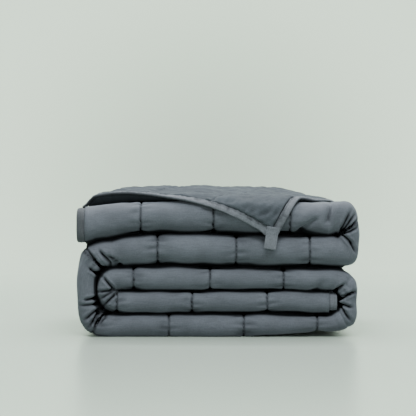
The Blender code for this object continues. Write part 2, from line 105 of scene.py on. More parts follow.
# Folds between them: outermost x of the middle line, thickness there, superellipse exponent, and
# extra thickness at the first and last corner.
Fold = namedtuple("Fold", "turn_x thick squareness first_corner last_corner")
FOLDS = {
    "inner_left": Fold(-149.8, 25.6, 2.0, 0.0, 1.0),
    "lower_right": Fold(175.2, 23.6, 2.5, 3.5, 1.5),
    "outer_left": Fold(-175.8, 22.8, 2.7, 1.0, 4.5),
    "upper_right": Fold(179.2, 20.0, 2.2, 8.0, 6.0),
}
ORDER = ("core", "inner_left", "second", "lower_right", "floor",
         "outer_left", "third", "upper_right", "top")
# Sewn lines across the strip: x on a run, or the share of the way round a fold.
SEAMS = {
    "core": (66.5, -33.9, -135.0),
    "second": (-111.7, -10.2, 88.4),
    "lower_right": (0.37,),
    "floor": (133.0, 35.2, -64.9),
    "outer_left": (0.08, 0.79),
    "third": (-79.8, 24.6, 123.0),
    "upper_right": (0.63,),
    "top": (97.1, -4.9, -102.4),
}

# ---- the turned-back corner and its loop
# Places on the top layer are x and v, the distance behind its crest.
CORNER_START = (-183.0, 26.0)  # outer end of the front edge
CORNER_POINT = (74.0, -67.0)  # tip, hanging down the front
CORNER_FAR = (184.0, 276.0)  # back end of the fold
FOLD_START_V = 46.0  # outer end of the fold
EDGE_DROOP, EDGE_POWER = 27.0, 4  # sag of the front edge, and how late along it
SIDE_BOW = 84.0  # bow of the side edge
HANG_RADIUS = 28.0  # bend of the ply where it goes over the crest
EDGE_HEIGHT = 10.2  # top of the bound front edge over the top layer
EDGE_HUG = 2.4  # how much lower it lies towards the tip
EDGE_DIP = 6.5  # and at the outer end
EDGE_RISE = 7.5  # how much higher near the outer end
RIDGE_HEIGHT, RIDGE_END_HEIGHT = 26.0, 9.5  # top of the fold, in its middle and at its ends
FLAP_THICK = 7.6  # the turned-back ply
ROOT_DEPTH = 3.0  # how far its fold reaches into the cloth below
SHOULDER_FROM, SHOULDER_REACH, SHOULDER_FALL = 158.0, 26.0, 7.0  # the top's roll to the right
SIDE_TAIL = 5.0  # how far the side binding runs on past the fold
CORNER_FRONT_SEAM = 80.0  # first sewn line of the turned-back ply from its front edge
CORNER_SIDE_SEAM = 95.0  # the same from its side edge
EDGE_MARGIN = 14.0  # distance from the edges at which the ply is fully uneven
CORNER_SEAM_DEPTH = 1.9
CORNER_STITCH_REACH, CORNER_STITCH_CUT = 1.8, 1.5
CORNER_CROWN, CORNER_CROWN_REACH = 1.5, 36.0
LOOP_WIDTH, LOOP_LENGTH, LOOP_THICK = 16.0, 30.0, 2.4
LOOP_TILT = 9.0  # degrees from upright
LOOP_LAP = 11.0  # how far it reaches up over the binding
LOOP_PLY_SHARE = 0.44  # one ply of the tape over the folded loop
LOOP_FLARE = 1.4  # how far its lower end stands off
# Sewn box with a diagonal on the loop, across and down from its upper end.
LOOP_BOX = ((-6.0, 3.0), (6.0, 3.0), (6.0, 9.5), (-6.0, 9.5), (-6.0, 3.0), (6.0, 9.5))

# ---- layers lying against each other
OWN_REACH = 70.0  # a layer isn't its own neighbour within this distance along the strip
FAR = 999.0  # no neighbour or sewn line near
CONTACT_ROOM, CONTACT_BLEND = 12.0, 6.0  # faces closer than this lie against each other
PRESS_LAP = 0.1  # how far the visual faces go into each other
PRESS_START, PRESS_REACH = 22.0, 22.0  # where and over what distance behind the front they meet
PRESS_EVEN = 9  # samples over which the contact is evened out
PRESS_FILL = 0.95  # share of a sewn line's depth that the contact fills
ON_TOP_FROM = 6.0  # distance along the top run from which its ply turns back

# ---- fine sampling
SEAM_OFFSETS = (0.0, 0.9, 2.0, 3.4, 5.4, 8.0, 11.0)
ROW_OFFSETS = (0.0, 1.5, 5.0)
FOLD_SAMPLES = 241  # of the path round each fold
RUN_STEP, FOLD_STEP = 4.8, 0.95
CREASED_TOP, CREASED_STEP = 46.0, 2.2  # length of the top with soft folds, and its finer step
FRONT_STEPS = 40
SIDE_FROM, SIDE_TO, SIDE_STEP = 31.0, 284.0, 16.0  # behind the front
CORNER_STEPS, CORNER_ROWS = 90, 170  # across the turned-back ply and along it
FOLD_STEPS, FOLD_ARC = 15, 78.0  # round its fold, and degrees to each side of the middle
BINDING_STEPS = 20
FRONT_BINDING_ROWS, SIDE_BINDING_ROWS, TAIL_ROWS = 110, 130, 7
END_ARM_ROWS, END_ARC_STEPS = 50, 40
LOOP_ROWS = 36

# ---- uneven cloth and its painted shade
# Creases in the cloth's front, by the part of the strip: x, z of the thin end and of the deep end,
# depth and half width.
Crease = namedtuple("Crease", "part x0 z0 x1 z1 depth width")
CREASES = tuple(Crease(part, *row) for part, rows in {
    "outer_left": (
        (-157.6, 115.7, -143.0, 97.1, 5.8, 1.3), (-145.6, 107.7, -131.0, 95.8, 5.2, 1.5),
        (-151.0, 111.7, -139.0, 98.4, 1.6, 3.0), (-170.9, 91.8, -158.3, 82.5, 5.0, 1.3),
        (-175.6, 118.4, -152.3, 89.1, 3.8, 1.2), (-140.3, 119.7, -125.7, 98.4, 1.6, 4.0),
        (-177.6, 49.2, -160.3, 51.9, 5.2, 1.3), (-183.5, 41.9, -160.3, 43.9, 3.0, 1.5),
        (-177.6, 22.6, -160.3, 35.9, 4.5, 1.3), (-171.8, 12.0, -158.9, 33.2, 5.0, 1.3),
        (-164.6, 12.0, -157.6, 31.9, 1.8, 1.2), (-162.4, 17.0, -152.3, 30.6, 2.4, 1.3),
        (-156.6, 18.0, -147.0, 30.6, 2.6, 1.4)),
    "floor": ((-140.3, 13.3, -135.0, 23.9, 1.6, 2.5),),
    "inner_left": (
        (-154.3, 81.1, -137.7, 63.2, 5.2, 1.2), (-160.3, 59.9, -140.3, 62.5, 5.0, 1.2),
        (-157.6, 50.5, -140.3, 59.9, 2.8, 1.6), (-152.3, 41.2, -136.3, 57.2, 4.8, 1.2)),
    "lower_right": (
        (168.2, 70.5, 157.6, 61.2, 5.0, 1.3), (181.5, 61.2, 162.9, 49.9, 5.4, 1.3),
        (178.9, 39.4, 164.3, 43.9, 5.2, 1.3), (176.2, 22.3, 162.9, 42.6, 5.6, 1.3),
        (174.9, 12.0, 160.3, 38.6, 2.4, 2.0), (177.6, 79.8, 170.9, 67.8, 2.2, 2.0)),
    "second": ((145.6, 77.1, 131.0, 62.5, 2.4, 3.2),),
    "upper_right": (
        (182.9, 163.6, 165.6, 139.7, 5.0, 1.2), (186.9, 155.6, 166.9, 138.3, 5.0, 1.2),
        (186.9, 146.3, 168.2, 137.0, 4.2, 1.2), (176.2, 166.2, 164.3, 142.3, 3.8, 1.3),
        (178.9, 123.7, 169.6, 134.3, 5.0, 1.4), (184.2, 113.1, 176.2, 126.4, 3.8, 1.4)),
    "top": (
        (152.6, 180.2, 146.8, 152.6, 5.2, 2.6), (151.8, 178.0, 147.4, 155.0, 2.0, 1.6),
        (134.7, 158.9, 111.4, 140.0, 5.4, 3.8), (162.9, 172.9, 157.6, 146.3, 1.2, 4.0),
        (-156.3, 170.2, -162.9, 127.7, 1.2, 3.5), (-145.6, 164.9, -156.3, 127.7, 1.0, 4.0)),
    "third": ((59.2, 127.7, 43.2, 98.4, 0.8, 5.0),),
}.items() for row in rows)
# Places where the filling pushes the front out: part, x, z, height and reach.
Swell = namedtuple("Swell", "part x z height reach")
SWELLS = (
    Swell("upper_right", 168.9, 135.7, 3.6, 7.5),
    Swell("top", 146.0, 140.0, 2.6, 11.0),
    Swell("outer_left", -155.6, 35.9, 1.8, 7.0),
    Swell("outer_left", -156.3, 87.8, 1.2, 6.0),
    Swell("outer_left", -177.5, 112.0, 2.0, 8.0),
    Swell("upper_right", 173.0, 174.0, 5.8, 13.0),
    Swell("upper_right", 181.0, 102.0, 3.6, 11.0),
    Swell("lower_right", 183.0, 70.0, 2.6, 18.0),
    Swell("lower_right", 181.0, 22.0, 4.2, 17.0),
)
FORMS_FROM, FORMS_REACH = 8.0, 40.0  # where and over what distance these forms fade backwards
PART_BLEND = 20.0  # their soft ends along the strip
CREASE_MARGIN, SWELL_MARGIN = 24.0, 30.0  # how far they may run on past their part
CREASE_LEAD = 0.14  # share of a crease's length by which it starts before its thin end
CREASE_TAPER = 0.42  # share of the length over which it grows to its full depth
HOLLOW_SHARE, HOLLOW_WIDTH = 0.22, 4.0  # a crease's wide hollow: depth and width over its own
BANK_SHARE, BANK_AWAY, BANK_WIDTH = 0.25, 3.4, 1.4  # its banks: height, distance and width
SOFT_CREASE = 2.0  # half width from which a crease is a soft fold without a painted dark line
CREASE_SHADE = 0.90  # painted shade: how much darker the cloth's colour is made at the bottom of a crease
DARK_DEPTH = 3.6  # depth from which a crease is fully so
CREASE_LINE = 1.5  # half width of that painted dark line
CONTACT_SHADE = 0.90  # the same painted shade where the front rolls in between two layers
CONTACT_FROM, CONTACT_TO = 0.76, 0.97  # shares of the half thickness between which it sets in
TOP_LAYER_GLOOM, GLOOM_REACH = 0.26, 0.9  # painted shade over the lower half of the thick top layer, which faces down away from the light
SEAM_SHADE, SEAM_LINE = 0.66, 1.5  # the same painted shade along a sewn line's furrow, and its half width
RAGGED_SHADE = 0.7  # how much that varies
SEAM_WANDER, WANDER_REACH = 0.9, 7.0  # how far a sewn line strays from its course
PUCKER_AWAY, PUCKER_REACH = 4.0, 11.0  # where the small wrinkles beside it are highest
PUCKER_SHADE, PUCKER_DARK = 0.30, 0.9  # darkest painted shade in their hollows, and depth for it
UNEVEN_FROM = 14.0  # distance from a sewn line beyond which the squares are fully uneven
UNDER_SHADE = 0.35  # painted shade on the unseen lower side of the turned-back ply and of its bindings
CORNER_HOLLOW_SHADE, CORNER_SEAM_SHADE = 0.28, 0.25  # painted shade in the hollows and along the sewn lines of its upper side
STRIP_HOLLOW_SHADE, STRIP_SEAM_SHADE = 0.35, 0.4  # the same on its bindings

# Unevenness of the cloth: height of a smooth noise, its pitch and its seed.
Wave = namedtuple("Wave", "height pitch seed")
PUCKER = Wave(1.8, 6.0, 1.0)
UNEVEN = Wave(2.3, 32.0, 2.0)
RAGGED = Wave(1.0, 3.6, 3.0)
CORNER_FOLDS = Wave(2.9, 13.0, 7.0)  # long soft folds of the turned-back ply
CORNER_FOLD_STRETCH = (0.45, 1.4)  # x and v over their own, which draws the folds out along x
CORNER_PUCKER = Wave(1.0, 6.5, 9.0)
EDGE_PUCKER, LINE_PUCKER = 1.9, 1.2  # its heights beside the bindings and along the sewn lines
CRUMPLE = (Wave(0.6, 9.0, 19.0), Wave(0.4, 4.6, 23.0))
ROLL = Wave(1.2, 26.0, 12.0)
RIPPLE_HEIGHT, RIPPLE_PITCH, RIPPLE_REACH = 2.2, 9.5, 30.0  # gathers beside the tip
RIPPLE_PHASE = Wave(9.0, 24.0, 21.0)
BROKEN = Wave(1.6, 17.0, 15.0)  # where the gathers are broken
LOOP_WAVE = Wave(0.35, 8.0, 61.0)


def in_metres(points):
    return (np.asarray(points, float) - CENTRE) * MM


def smoothstep(value):
    value = np.clip(value, 0.0, 1.0)
    return value * value * (3.0 - 2.0 * value)


def ease(value, start, reach):
    """0 up to the start, 1 from a reach beyond it, and smooth between."""
    return smoothstep((value - start) / reach)


def bell(offset, width):
    return np.exp(-(offset / width) ** 2)


def fading(distance, reach):
    return np.exp(-distance / reach)


def squared(value, squareness):
    """A sine or cosine for a superellipse instead of a circle."""
    return np.sign(value) * np.abs(value) ** (2.0 / squareness)


def stacked(*parts):
    """Points from their coordinates."""
    return np.stack(np.broadcast_arrays(*parts), axis=-1)


def left_of(way):
    """Unit directions to the left of directions in a plane."""
    return stacked(-way[..., 1], way[..., 0]) / np.linalg.norm(way, axis=-1, keepdims=True)


# ---- the path of the strip
def hermite(known_x, known_y, wanted):
    """Smooth curve through a few rows, with the mean of the two slopes at each inner row."""
    known_x = np.asarray(known_x, float)
    known_y = np.asarray(known_y, float)
    slope = np.diff(known_y) / np.diff(known_x)
    tangent = np.concatenate(([slope[0]], (slope[1:] + slope[:-1]) / 2.0, [slope[-1]]))
    left = np.clip(np.searchsorted(known_x, wanted, side="right") - 1, 0, len(known_x) - 2)
    width = known_x[left + 1] - known_x[left]
    t = (wanted - known_x[left]) / width
    return ((2 * t**3 - 3 * t**2 + 1) * known_y[left]
            + (t**3 - 2 * t**2 + t) * width * tangent[left]
            + (-2 * t**3 + 3 * t**2) * known_y[left + 1]
            + (t**3 - t**2) * width * tangent[left + 1])


def run_samples(rows):
    """x, z, heading, thickness and front setback along one flat run."""
    first, last = rows[0].x, rows[-1].x
    x = np.linspace(first, last, int(abs(last - first)) + 1)
    way = np.array([abs(row.x - first) for row in rows])
    along_run = abs(x - first)
    z, thick, front = (hermite(way, [getattr(row, field) for row in rows], along_run)
                       for field in ("z", "thick", "front"))
    heading = np.full(len(x), 0.0 if last > first else math.pi)
    return x, z, heading, thick, front


def fold_samples(before, after, fold):
    """The same round one fold, from the end of one run to the start of the next."""
    turn = np.linspace(0.0, math.pi, FOLD_SAMPLES)
    first_half = turn < math.pi / 2.0
    start_x = np.where(first_half, before.x, after.x)
    x = start_x + (fold.turn_x - start_x) * squared(np.sin(turn), fold.squareness)
    half_rise = (after.z - before.z) / 2.0
    z = before.z + half_rise * (1.0 - squared(np.cos(turn), fold.squareness))
    heading = np.arctan2(np.gradient(z), np.gradient(x))
    blend = (1.0 - np.cos(turn)) / 2.0
    thick = before.thick + (after.thick - before.thick) * blend
    thick = thick + (fold.thick - thick) * np.sin(turn) ** 2
    front = before.front + (after.front - before.front) * blend
    side = 1.0 if np.unwrap(heading)[-1] < heading[0] else -1.0
    corner = np.where(first_half, fold.first_corner, fold.last_corner)
    corner = corner * np.sin(2.0 * turn) ** 2 * np.abs(np.cos(turn))
    x = x - side * np.sin(heading) * corner / 2.0
    z = z + side * np.cos(heading) * corner / 2.0
    return x, z, heading, thick + corner, front


def strip_path():
    """Tables of the strip by distance along it, and the distance of every sewn line."""
    columns = []
    ranges = {}
    count = 0
    for place, name in enumerate(ORDER):
        if name in RUNS:
            part = run_samples(RUNS[name])
        else:
            part = fold_samples(RUNS[ORDER[place - 1]][-1], RUNS[ORDER[place + 1]][0], FOLDS[name])
            part = tuple(column[1:-1] for column in part)
        columns.append(part)
        ranges[name] = (count, count + len(part[0]) - 1)
        count += len(part[0])
    x, z, heading, thick, front = (np.concatenate(column) for column in zip(*columns))
    heading = np.unwrap(heading)
    distance = np.concatenate(([0.0], np.cumsum(np.hypot(np.diff(x), np.diff(z)))))
    seams = []
    for name, places in SEAMS.items():
        first, last = ranges[name]
        for position in places:
            if name in RUNS:
                near = first + int(np.argmin(abs(x[first:last + 1] - position)))
                seams.append(distance[near])
            else:
                seams.append(distance[first] + position * (distance[last] - distance[first]))
    spans = {name: (distance[first], distance[last]) for name, (first, last) in ranges.items()}
    return {"s": distance, "x": x, "z": z, "heading": heading, "thick": thick, "front": front,
            "seams": np.array(sorted(seams)), "spans": spans}


def along(path, field, s):
    return np.interp(s, path["s"], path[field])


# ---- the top layer's surface
def top_row(x, field):
    rows = sorted(RUNS["top"], key=lambda row: row.x)
    x = np.clip(x, rows[0].x, rows[-1].x)
    return hermite([row.x for row in rows], [getattr(row, field) for row in rows], x)


def crest_height(x):
    return top_row(x, "z") + top_row(x, "thick") / 2.0


def crest_y(x):
    return FRONT_Y + top_row(x, "front") + FRONT_ROUND * top_row(x, "thick") / 2.0


def fold_line_v(x):
    """How far behind the crest the top ply turns back, at each x."""
    share = (x - CORNER_START[0]) / (CORNER_FAR[0] - CORNER_START[0])
    return FOLD_START_V + share * (CORNER_FAR[1] - FOLD_START_V)


def drape(x, v, height):
    """Points at a height over the top layer, v behind its crest or down its front."""
    x, v, height = np.broadcast_arrays(np.asarray(x, float), v, height)
    sag = TOP_SAG * smoothstep(v / SAG_REACH)
    turn = np.clip(-v / HANG_RADIUS, 0.0, math.pi / 2.0)
    hang = np.maximum(-v - HANG_RADIUS * math.pi / 2.0, 0.0)
    half = top_row(x, "thick") / 2.0
    y = crest_y(x) + np.maximum(v, 0.0) - (half * FRONT_ROUND + height) * np.sin(turn)
    z = crest_height(x) - half + (half + height) * np.cos(turn) - hang
    shoulder = SHOULDER_FALL * np.clip((x - SHOULDER_FROM) / SHOULDER_REACH, 0.0, 1.3) ** 2
    return stacked(x, y, z - sag - shoulder)


def over(places, height):
    """The same for places given as x and v."""
    return drape(places[..., 0], places[..., 1], height)


# ---- uneven cloth
def wavy(points, pitch, seed):
    """Smooth random values from -1 to 1 at points given in millimetres."""
    shift = Vector((seed * 17.31, seed * 5.77, seed * 11.13))
    return np.array([noise.noise(Vector(point) / pitch + shift) for point in points.reshape(-1, 3)]
                    ).reshape(points.shape[:-1])


def waves(points, *kinds):
    """The heights of some sorts of wave, added up."""
    return sum(kind.height * wavy(points, kind.pitch, kind.seed) for kind in kinds)


def grid_normals(grid):
    """Unit normals of a grid of points whose rows are rings."""
    down = np.gradient(grid, axis=0)
    across = (np.roll(grid, -1, axis=1) - np.roll(grid, 1, axis=1)) / 2.0
    normal = np.cross(across, down)
    return normal / np.maximum(np.linalg.norm(normal, axis=-1, keepdims=True), 1e-9)


def segment_distance(px, pz, row):
    """Distance from a crease's line, and the share of the way along it."""
    dx, dz = row.x1 - row.x0, row.z1 - row.z0
    share = np.clip(((px - row.x0) * dx + (pz - row.z0) * dz) / (dx * dx + dz * dz), 0.0, 1.0)
    return np.hypot(px - row.x0 - share * dx, pz - row.z0 - share * dz), share


def dip(offset, reach, depth):
    """Depth of a furrow at an offset from its middle line."""
    return depth * (1.0 - np.clip(np.abs(offset) / reach, 0.0, 1.0)) ** 2


# ---- the quilted body
def seam_distance(path, s):
    return np.min(np.abs(path["seams"][None, :] - np.asarray(s)[:, None]), axis=1)


def seam_dip(path, s):
    """How far the sewn lines across the strip draw the cloth in."""
    nearest = seam_distance(path, s)
    bent = np.abs(np.sin(along(path, "heading", s)))
    return (1.0 - FOLD_SEAM_LOSS * bent) * (
        dip(nearest, SEAM_REACH, SEAM_SHARE * along(path, "thick", s))
        + dip(nearest, STITCH_REACH, STITCH_CUT))


def crown(path, s):
    """The swell of the filled squares between their sewn lines."""
    return CROWN * smoothstep(seam_distance(path, s) / (QUILT_PITCH / 2.0))


def room_beside(path, s, side):
    """Free distance from one face of the strip to the nearest layer that it lies against."""
    heading = along(path, "heading", s)
    half = along(path, "thick", s) / 2.0
    px = along(path, "x", s) - side * np.sin(heading) * half
    pz = along(path, "z", s) + side * np.cos(heading) * half
    apart = np.hypot(px[:, None] - path["x"][None, :], pz[:, None] - path["z"][None, :])
    room = apart - path["thick"][None, :] / 2.0
    room[np.abs(s[:, None] - path["s"][None, :]) < OWN_REACH] = FAR
    return room.min(axis=1)


def press(path, s, side):
    """How far a face swells behind the front towards its neighbour, and how surely they touch."""
    room = room_beside(path, s, side)
    touching = smoothstep((CONTACT_ROOM - room) / CONTACT_BLEND)
    swell = np.clip(room / 2.0 + PRESS_LAP, 0.0, CONTACT_ROOM / 2.0) * touching
    kernel = np.hanning(PRESS_EVEN) / np.hanning(PRESS_EVEN).sum()
    return tuple(np.convolve(np.pad(value, PRESS_EVEN // 2, "edge"), kernel, "valid")
                 for value in (swell, touching))


def row_dip(behind):
    """How far the sewn lines along the strip do so, by the distance behind the front."""
    offset = (behind - FIRST_ROW_SEAM + QUILT_PITCH / 2.0) % QUILT_PITCH - QUILT_PITCH / 2.0
    return (dip(offset, SEAM_REACH, ROW_SEAM_DEPTH)
            + dip(offset, STITCH_REACH, ROW_STITCH_SHARE * STITCH_CUT))


def spaced(stretches, centres, offsets):
    """Places at each stretch's even step, closer together around some centres."""
    first, last = stretches[0][0], stretches[-1][1]
    close = [centre + side * offset
             for centre in centres for offset in offsets for side in (-1, 1)]
    close = [place for place in close if first < place < last]
    wide = []
    for start, end, step in stretches:
        clear = offsets[-1] + 0.3 * step if step > offsets[1] * 2.0 else 0.0
        wide += [place for place in np.linspace(start, end, int((end - start) / step) + 1)
                 if min(abs(place - centre) for centre in centres) > clear]
    places = np.array(sorted(close + wide + [first, last]))
    return places[np.concatenate(([True], np.diff(places) > 0.3))]


def side_places():
    """Places behind the front at which the rings have points, and those of the sewn rows."""
    rows = [FIRST_ROW_SEAM + QUILT_PITCH * k for k in range(ROW_SEAMS)]
    return spaced([(SIDE_FROM, SIDE_TO, SIDE_STEP)], rows, ROW_OFFSETS), rows


def body_grid(path):
    """Rings of points round the folded strip, each point's distance along it and round it, and how
    much shade is painted on it where the neighbouring layers take its light."""
    stretches = [(*path["spans"][name], RUN_STEP if name in RUNS else FOLD_STEP) for name in ORDER]
    first, last, _ = stretches.pop()
    creased = first + CREASED_TOP
    stretches += [(first, creased, CREASED_STEP), (creased, last, RUN_STEP)]
    s = spaced(stretches, path["seams"], SEAM_OFFSETS)
    behind, _ = side_places()
    x, z, heading, thick, setback = (along(path, field, s)[:, None]
                                     for field in ("x", "z", "heading", "thick", "front"))
    half = thick / 2.0
    drawn = (seam_dip(path, s) - crown(path, s))[:, None]
    on_top = (s > path["spans"]["top"][0] + ON_TOP_FROM)[:, None]
    full = half - drawn
    round_y = FRONT_ROUND * half
    back = DEPTH - BACK_ROUND * half
    turn_y = np.minimum(round_y + fold_line_v(x), back - 2.0 * PLY)
    lowered = np.where(on_top, PLY, 0.0)

    angle = math.pi * (np.arange(FRONT_STEPS + 1) / FRONT_STEPS - 0.5)[None, :]
    sine = np.sin(angle)
    arc = full * squared(sine, FRONT_FULLNESS)
    arc_y = (FRONT_Y + setback + FRONT_DRAW * drawn
             + round_y * (1.0 - squared(np.cos(angle), FRONT_FULLNESS)))

    places = behind[None, :]
    inside = ease(places, PRESS_START, PRESS_REACH) * smoothstep((back - places) / PRESS_REACH)
    flats, touches = [], []
    contact = np.zeros(arc.shape)
    for side in (1, -1):
        swell, touching = (value[:, None] for value in press(path, s, side))
        # Painted shade where a face lies against its neighbour, and over the top layer's lower
        # half.
        contact += touching * ease(side * sine, CONTACT_FROM, CONTACT_TO - CONTACT_FROM)
        contact += (np.where(on_top, TOP_LAYER_GLOOM, 0.0) * touching
                    * smoothstep(side * sine / GLOOM_REACH))
        pressed = inside * touching
        flats.append(full - row_dip(places) * (1.0 - pressed)
                     + pressed * (swell + PRESS_FILL * np.maximum(drawn, 0.0)))
        touches.append(np.broadcast_to(touching, pressed.shape))

    near = flats[0]
    near_y = np.broadcast_to(FRONT_Y + places, near.shape)
    shares = [(1.0, None), *BACK_EDGES, (0.0, BACK_NOTCH)]
    shares += [(-share, short) for share, short in reversed(BACK_EDGES)] + [(-1.0, None)]
    middle = lowered / 2.0
    lobes = np.concatenate([middle + share * (full - middle) for share, _ in shares], axis=1)
    lobes_y = np.concatenate([FRONT_Y + DEPTH - FRONT_DRAW * drawn
                              - (DEPTH - back if short is None else short)
                              for _, short in shares], axis=1)
    away = behind[::-1][None, :]
    sag = np.where(on_top, TOP_SAG * ease(away, round_y, SAG_REACH), 0.0)
    far = -flats[1][:, ::-1] + sag + lowered * ease(away, turn_y, PLY)
    far_y = np.broadcast_to(FRONT_Y + away, far.shape)

    offset = np.concatenate((arc, near, lobes, far), axis=1)
    y = np.concatenate((arc_y, near_y, lobes_y, far_y), axis=1)
    grid = stacked(x - np.sin(heading) * offset, y, z + np.cos(heading) * offset)
    steps = np.hypot(np.diff(offset, axis=1), np.diff(y, axis=1))
    around = np.pad(np.cumsum(steps, axis=1), ((0, 0), (1, 0)))
    painted_darkness = (np.minimum(contact, 1.0), touches[0], 0.0 * lobes, touches[1])
    return s, grid, around, np.concatenate(painted_darkness, axis=1)


def within(path, s, part, margin):
    """1 in a part of the strip and a margin round it, with soft ends."""
    first, last = path["spans"][part]
    return (smoothstep((s - first + margin) / PART_BLEND)
            * smoothstep((last - s + margin) / PART_BLEND))[:, None]


def shape_body(path, s, grid, around, painted_darkness):
    """Creases at the folds, small wrinkles beside the sewn lines and slow unevenness, with painted
    shade between the layers, in the creases and hollows and along the sewn lines.
    """
    normal = grid_normals(grid)
    if np.mean(normal[:, FRONT_STEPS // 2, 1]) > 0.0:
        normal = -normal
    x, z = grid[..., 0], grid[..., 2]
    front = smoothstep(1.0 - (grid[..., 1] - FRONT_Y - FORMS_FROM) / FORMS_REACH)
    lift = np.zeros(x.shape)
    # Painted shade: darker between the layers, in creases, in the wrinkles' hollows and along the
    # sewn lines.
    shade = 1.0 - CONTACT_SHADE * painted_darkness
    for row in CREASES:
        distance, share = segment_distance(x, z, row)
        wide = HOLLOW_SHARE * bell(distance, HOLLOW_WIDTH * row.width)
        banks = BANK_SHARE * bell(distance - BANK_AWAY * row.width, BANK_WIDTH * row.width)
        inside = within(path, s, row.part, CREASE_MARGIN)
        strength = ease(share, -CREASE_LEAD, CREASE_TAPER) * front * inside
        lift -= row.depth * strength * (bell(distance, row.width) + wide - banks)
        # A narrow crease gets a painted dark line of shade along its bottom.
        if row.width < SOFT_CREASE:
            dark = CREASE_SHADE * min(row.depth / DARK_DEPTH, 1.0)
            shade -= dark * strength * bell(distance, CREASE_LINE)
    for row in SWELLS:
        apart = np.hypot(x - row.x, z - row.z)
        inside = within(path, s, row.part, SWELL_MARGIN)
        lift += row.height * front * inside * bell(apart, row.reach)

    nearest = seam_distance(path, s)[:, None]
    beside = bell(nearest - PUCKER_AWAY, PUCKER_REACH) * smoothstep(nearest / 2.5)
    pucker = beside * waves(stacked(0.22 * s[:, None], around, 0.0), PUCKER)
    lift += pucker
    # Painted shade in the wrinkles' hollows.
    shade -= PUCKER_SHADE * np.clip(-pucker / PUCKER_DARK, 0.0, 1.0)
    lift += waves(stacked(s[:, None], around, 0.0), UNEVEN) * smoothstep(nearest / UNEVEN_FROM)
    ragged = waves(stacked(0.05 * s[:, None], around, 0.0), RAGGED)
    # Painted shade along each sewn line's furrow, a little ragged.
    shade -= SEAM_SHADE * (1.0 + RAGGED_SHADE * ragged) * bell(nearest, SEAM_LINE)
    heading = along(path, "heading", s)[:, None]
    wander = SEAM_WANDER * ragged * bell(nearest, WANDER_REACH)
    shift = stacked(np.cos(heading) * wander, 0.0, np.sin(heading) * wander)
    return grid + normal * lift[..., None] + shift, shade


def body_lines(path, s, grid):
    """The sewn lines over the body's front and along the faces of it that show."""
    behind, rows = side_places()
    near = FRONT_STEPS + 1 + np.arange(len(behind))
    far = grid.shape[1] - 1 - np.arange(len(behind))
    faces = {"outer_left": near, "lower_right": near, "upper_right": far, "top": far}
    lines = []
    for name in ORDER:
        first, last = path["spans"][name]
        for seam in path["seams"]:
            if first <= seam <= last:
                ring = grid[np.argmin(np.abs(s - seam))]
                lines.append(ring[2:FRONT_STEPS - 1])
                if name in faces:
                    lines.append(ring[faces[name]])
        if name in faces:
            shown = (s >= first) & (s <= last)
            lines += [grid[shown, faces[name][np.argmin(np.abs(behind - row))]] for row in rows]
    return lines


# ---- meshes
def add_object(name, data):
    obj = bpy.data.objects.new(name, data)
    bpy.context.scene.collection.objects.link(obj)
    return obj


def lengths(grid):
    """Distances along and across a grid, in millimetres, for its weave."""
    down = np.linalg.norm(np.diff(grid, axis=0), axis=-1).mean(axis=1)
    across = np.linalg.norm(np.diff(grid, axis=1), axis=-1)
    return stacked(np.pad(np.cumsum(down), (1, 0))[:, None],
                   np.pad(np.cumsum(across, axis=1), ((0, 0), (1, 0))))


def grid_mesh(name, grid, material, uv=None, shade=1.0, nose=0):
    """Mesh of rings of points in millimetres, each end closed in bands from its nose on."""
    rows, columns = grid.shape[:2]
    index = np.arange(rows * columns).reshape(rows, columns)
    after = np.roll(index, -1, axis=1)
    faces = stacked(index[:-1], after[:-1], after[1:], index[1:]).reshape(-1, 4).tolist()
    half = columns // 2
    for end in (0, -1):
        ring = np.roll(index[end], -nose).tolist()
        band = [ring[:2] + ring[-1:]]
        band += [[ring[k], ring[k + 1], ring[-k - 1], ring[-k]] for k in range(1, half - 1)]
        band.append(ring[half - 1:half + 2 + columns % 2])
        faces += band if end else [face[::-1] for face in band]
    mesh = bpy.data.meshes.new(name)
    mesh.from_pydata(in_metres(grid).reshape(-1, 3).tolist(), [], faces)
    corners = np.array([corner.vertex_index for corner in mesh.loops])
    flat = ((lengths(grid) if uv is None else uv).reshape(-1, 2) * MM)[corners]
    mesh.uv_layers.new(name="cloth").data.foreach_set("uv", flat.astype(np.float32).ravel())
    # The shade attribute holds painted shade, which darkens the cloth's colour.
    tone = np.clip(np.broadcast_to(shade, (rows, columns)), 0.0, 1.0).astype(np.float32)
    mesh.attributes.new("shade", "FLOAT", "POINT").data.foreach_set("value", tone.ravel())
    mesh.materials.append(material)
    mesh.shade_smooth()
    obj = add_object(name, mesh)
    face_outward(mesh)
    return obj


def face_outward(mesh):
    work = bmesh.new()
    work.from_mesh(mesh)
    bmesh.ops.recalc_face_normals(work, faces=work.faces[:])
    if work.calc_volume(signed=True) < 0.0:
        bmesh.ops.reverse_faces(work, faces=work.faces[:])
    work.to_mesh(mesh)
    work.free()


def make_body(path, material):
    s, grid, around, painted_darkness = body_grid(path)
    grid, shade = shape_body(path, s, grid, around, painted_darkness)
    grid[..., 2] = np.maximum(grid[..., 2], 0.0)
    uv = stacked(s[:, None], around)
    quilt = grid_mesh("quilt", grid, material, uv, shade, nose=FRONT_STEPS // 2)
    return quilt, body_lines(path, s, grid)


# ---- the turned-back corner
def front_edge(a):
    """x and v along the corner's bound front edge, from the outer end (a = 0) to its point (1)."""
    a = np.asarray(a, float)
    x = CORNER_START[0] + a * (CORNER_POINT[0] - CORNER_START[0])
    fall = CORNER_START[1] - CORNER_POINT[1]
    v = CORNER_START[1] - (fall - EDGE_DROOP) * a - EDGE_DROOP * a ** EDGE_POWER
    return stacked(x, v)


def fold_edge(a):
    """The same along the fold, from its outer end to the back."""
    x = CORNER_START[0] + np.asarray(a, float) * (CORNER_FAR[0] - CORNER_START[0])
    return stacked(x, fold_line_v(x))


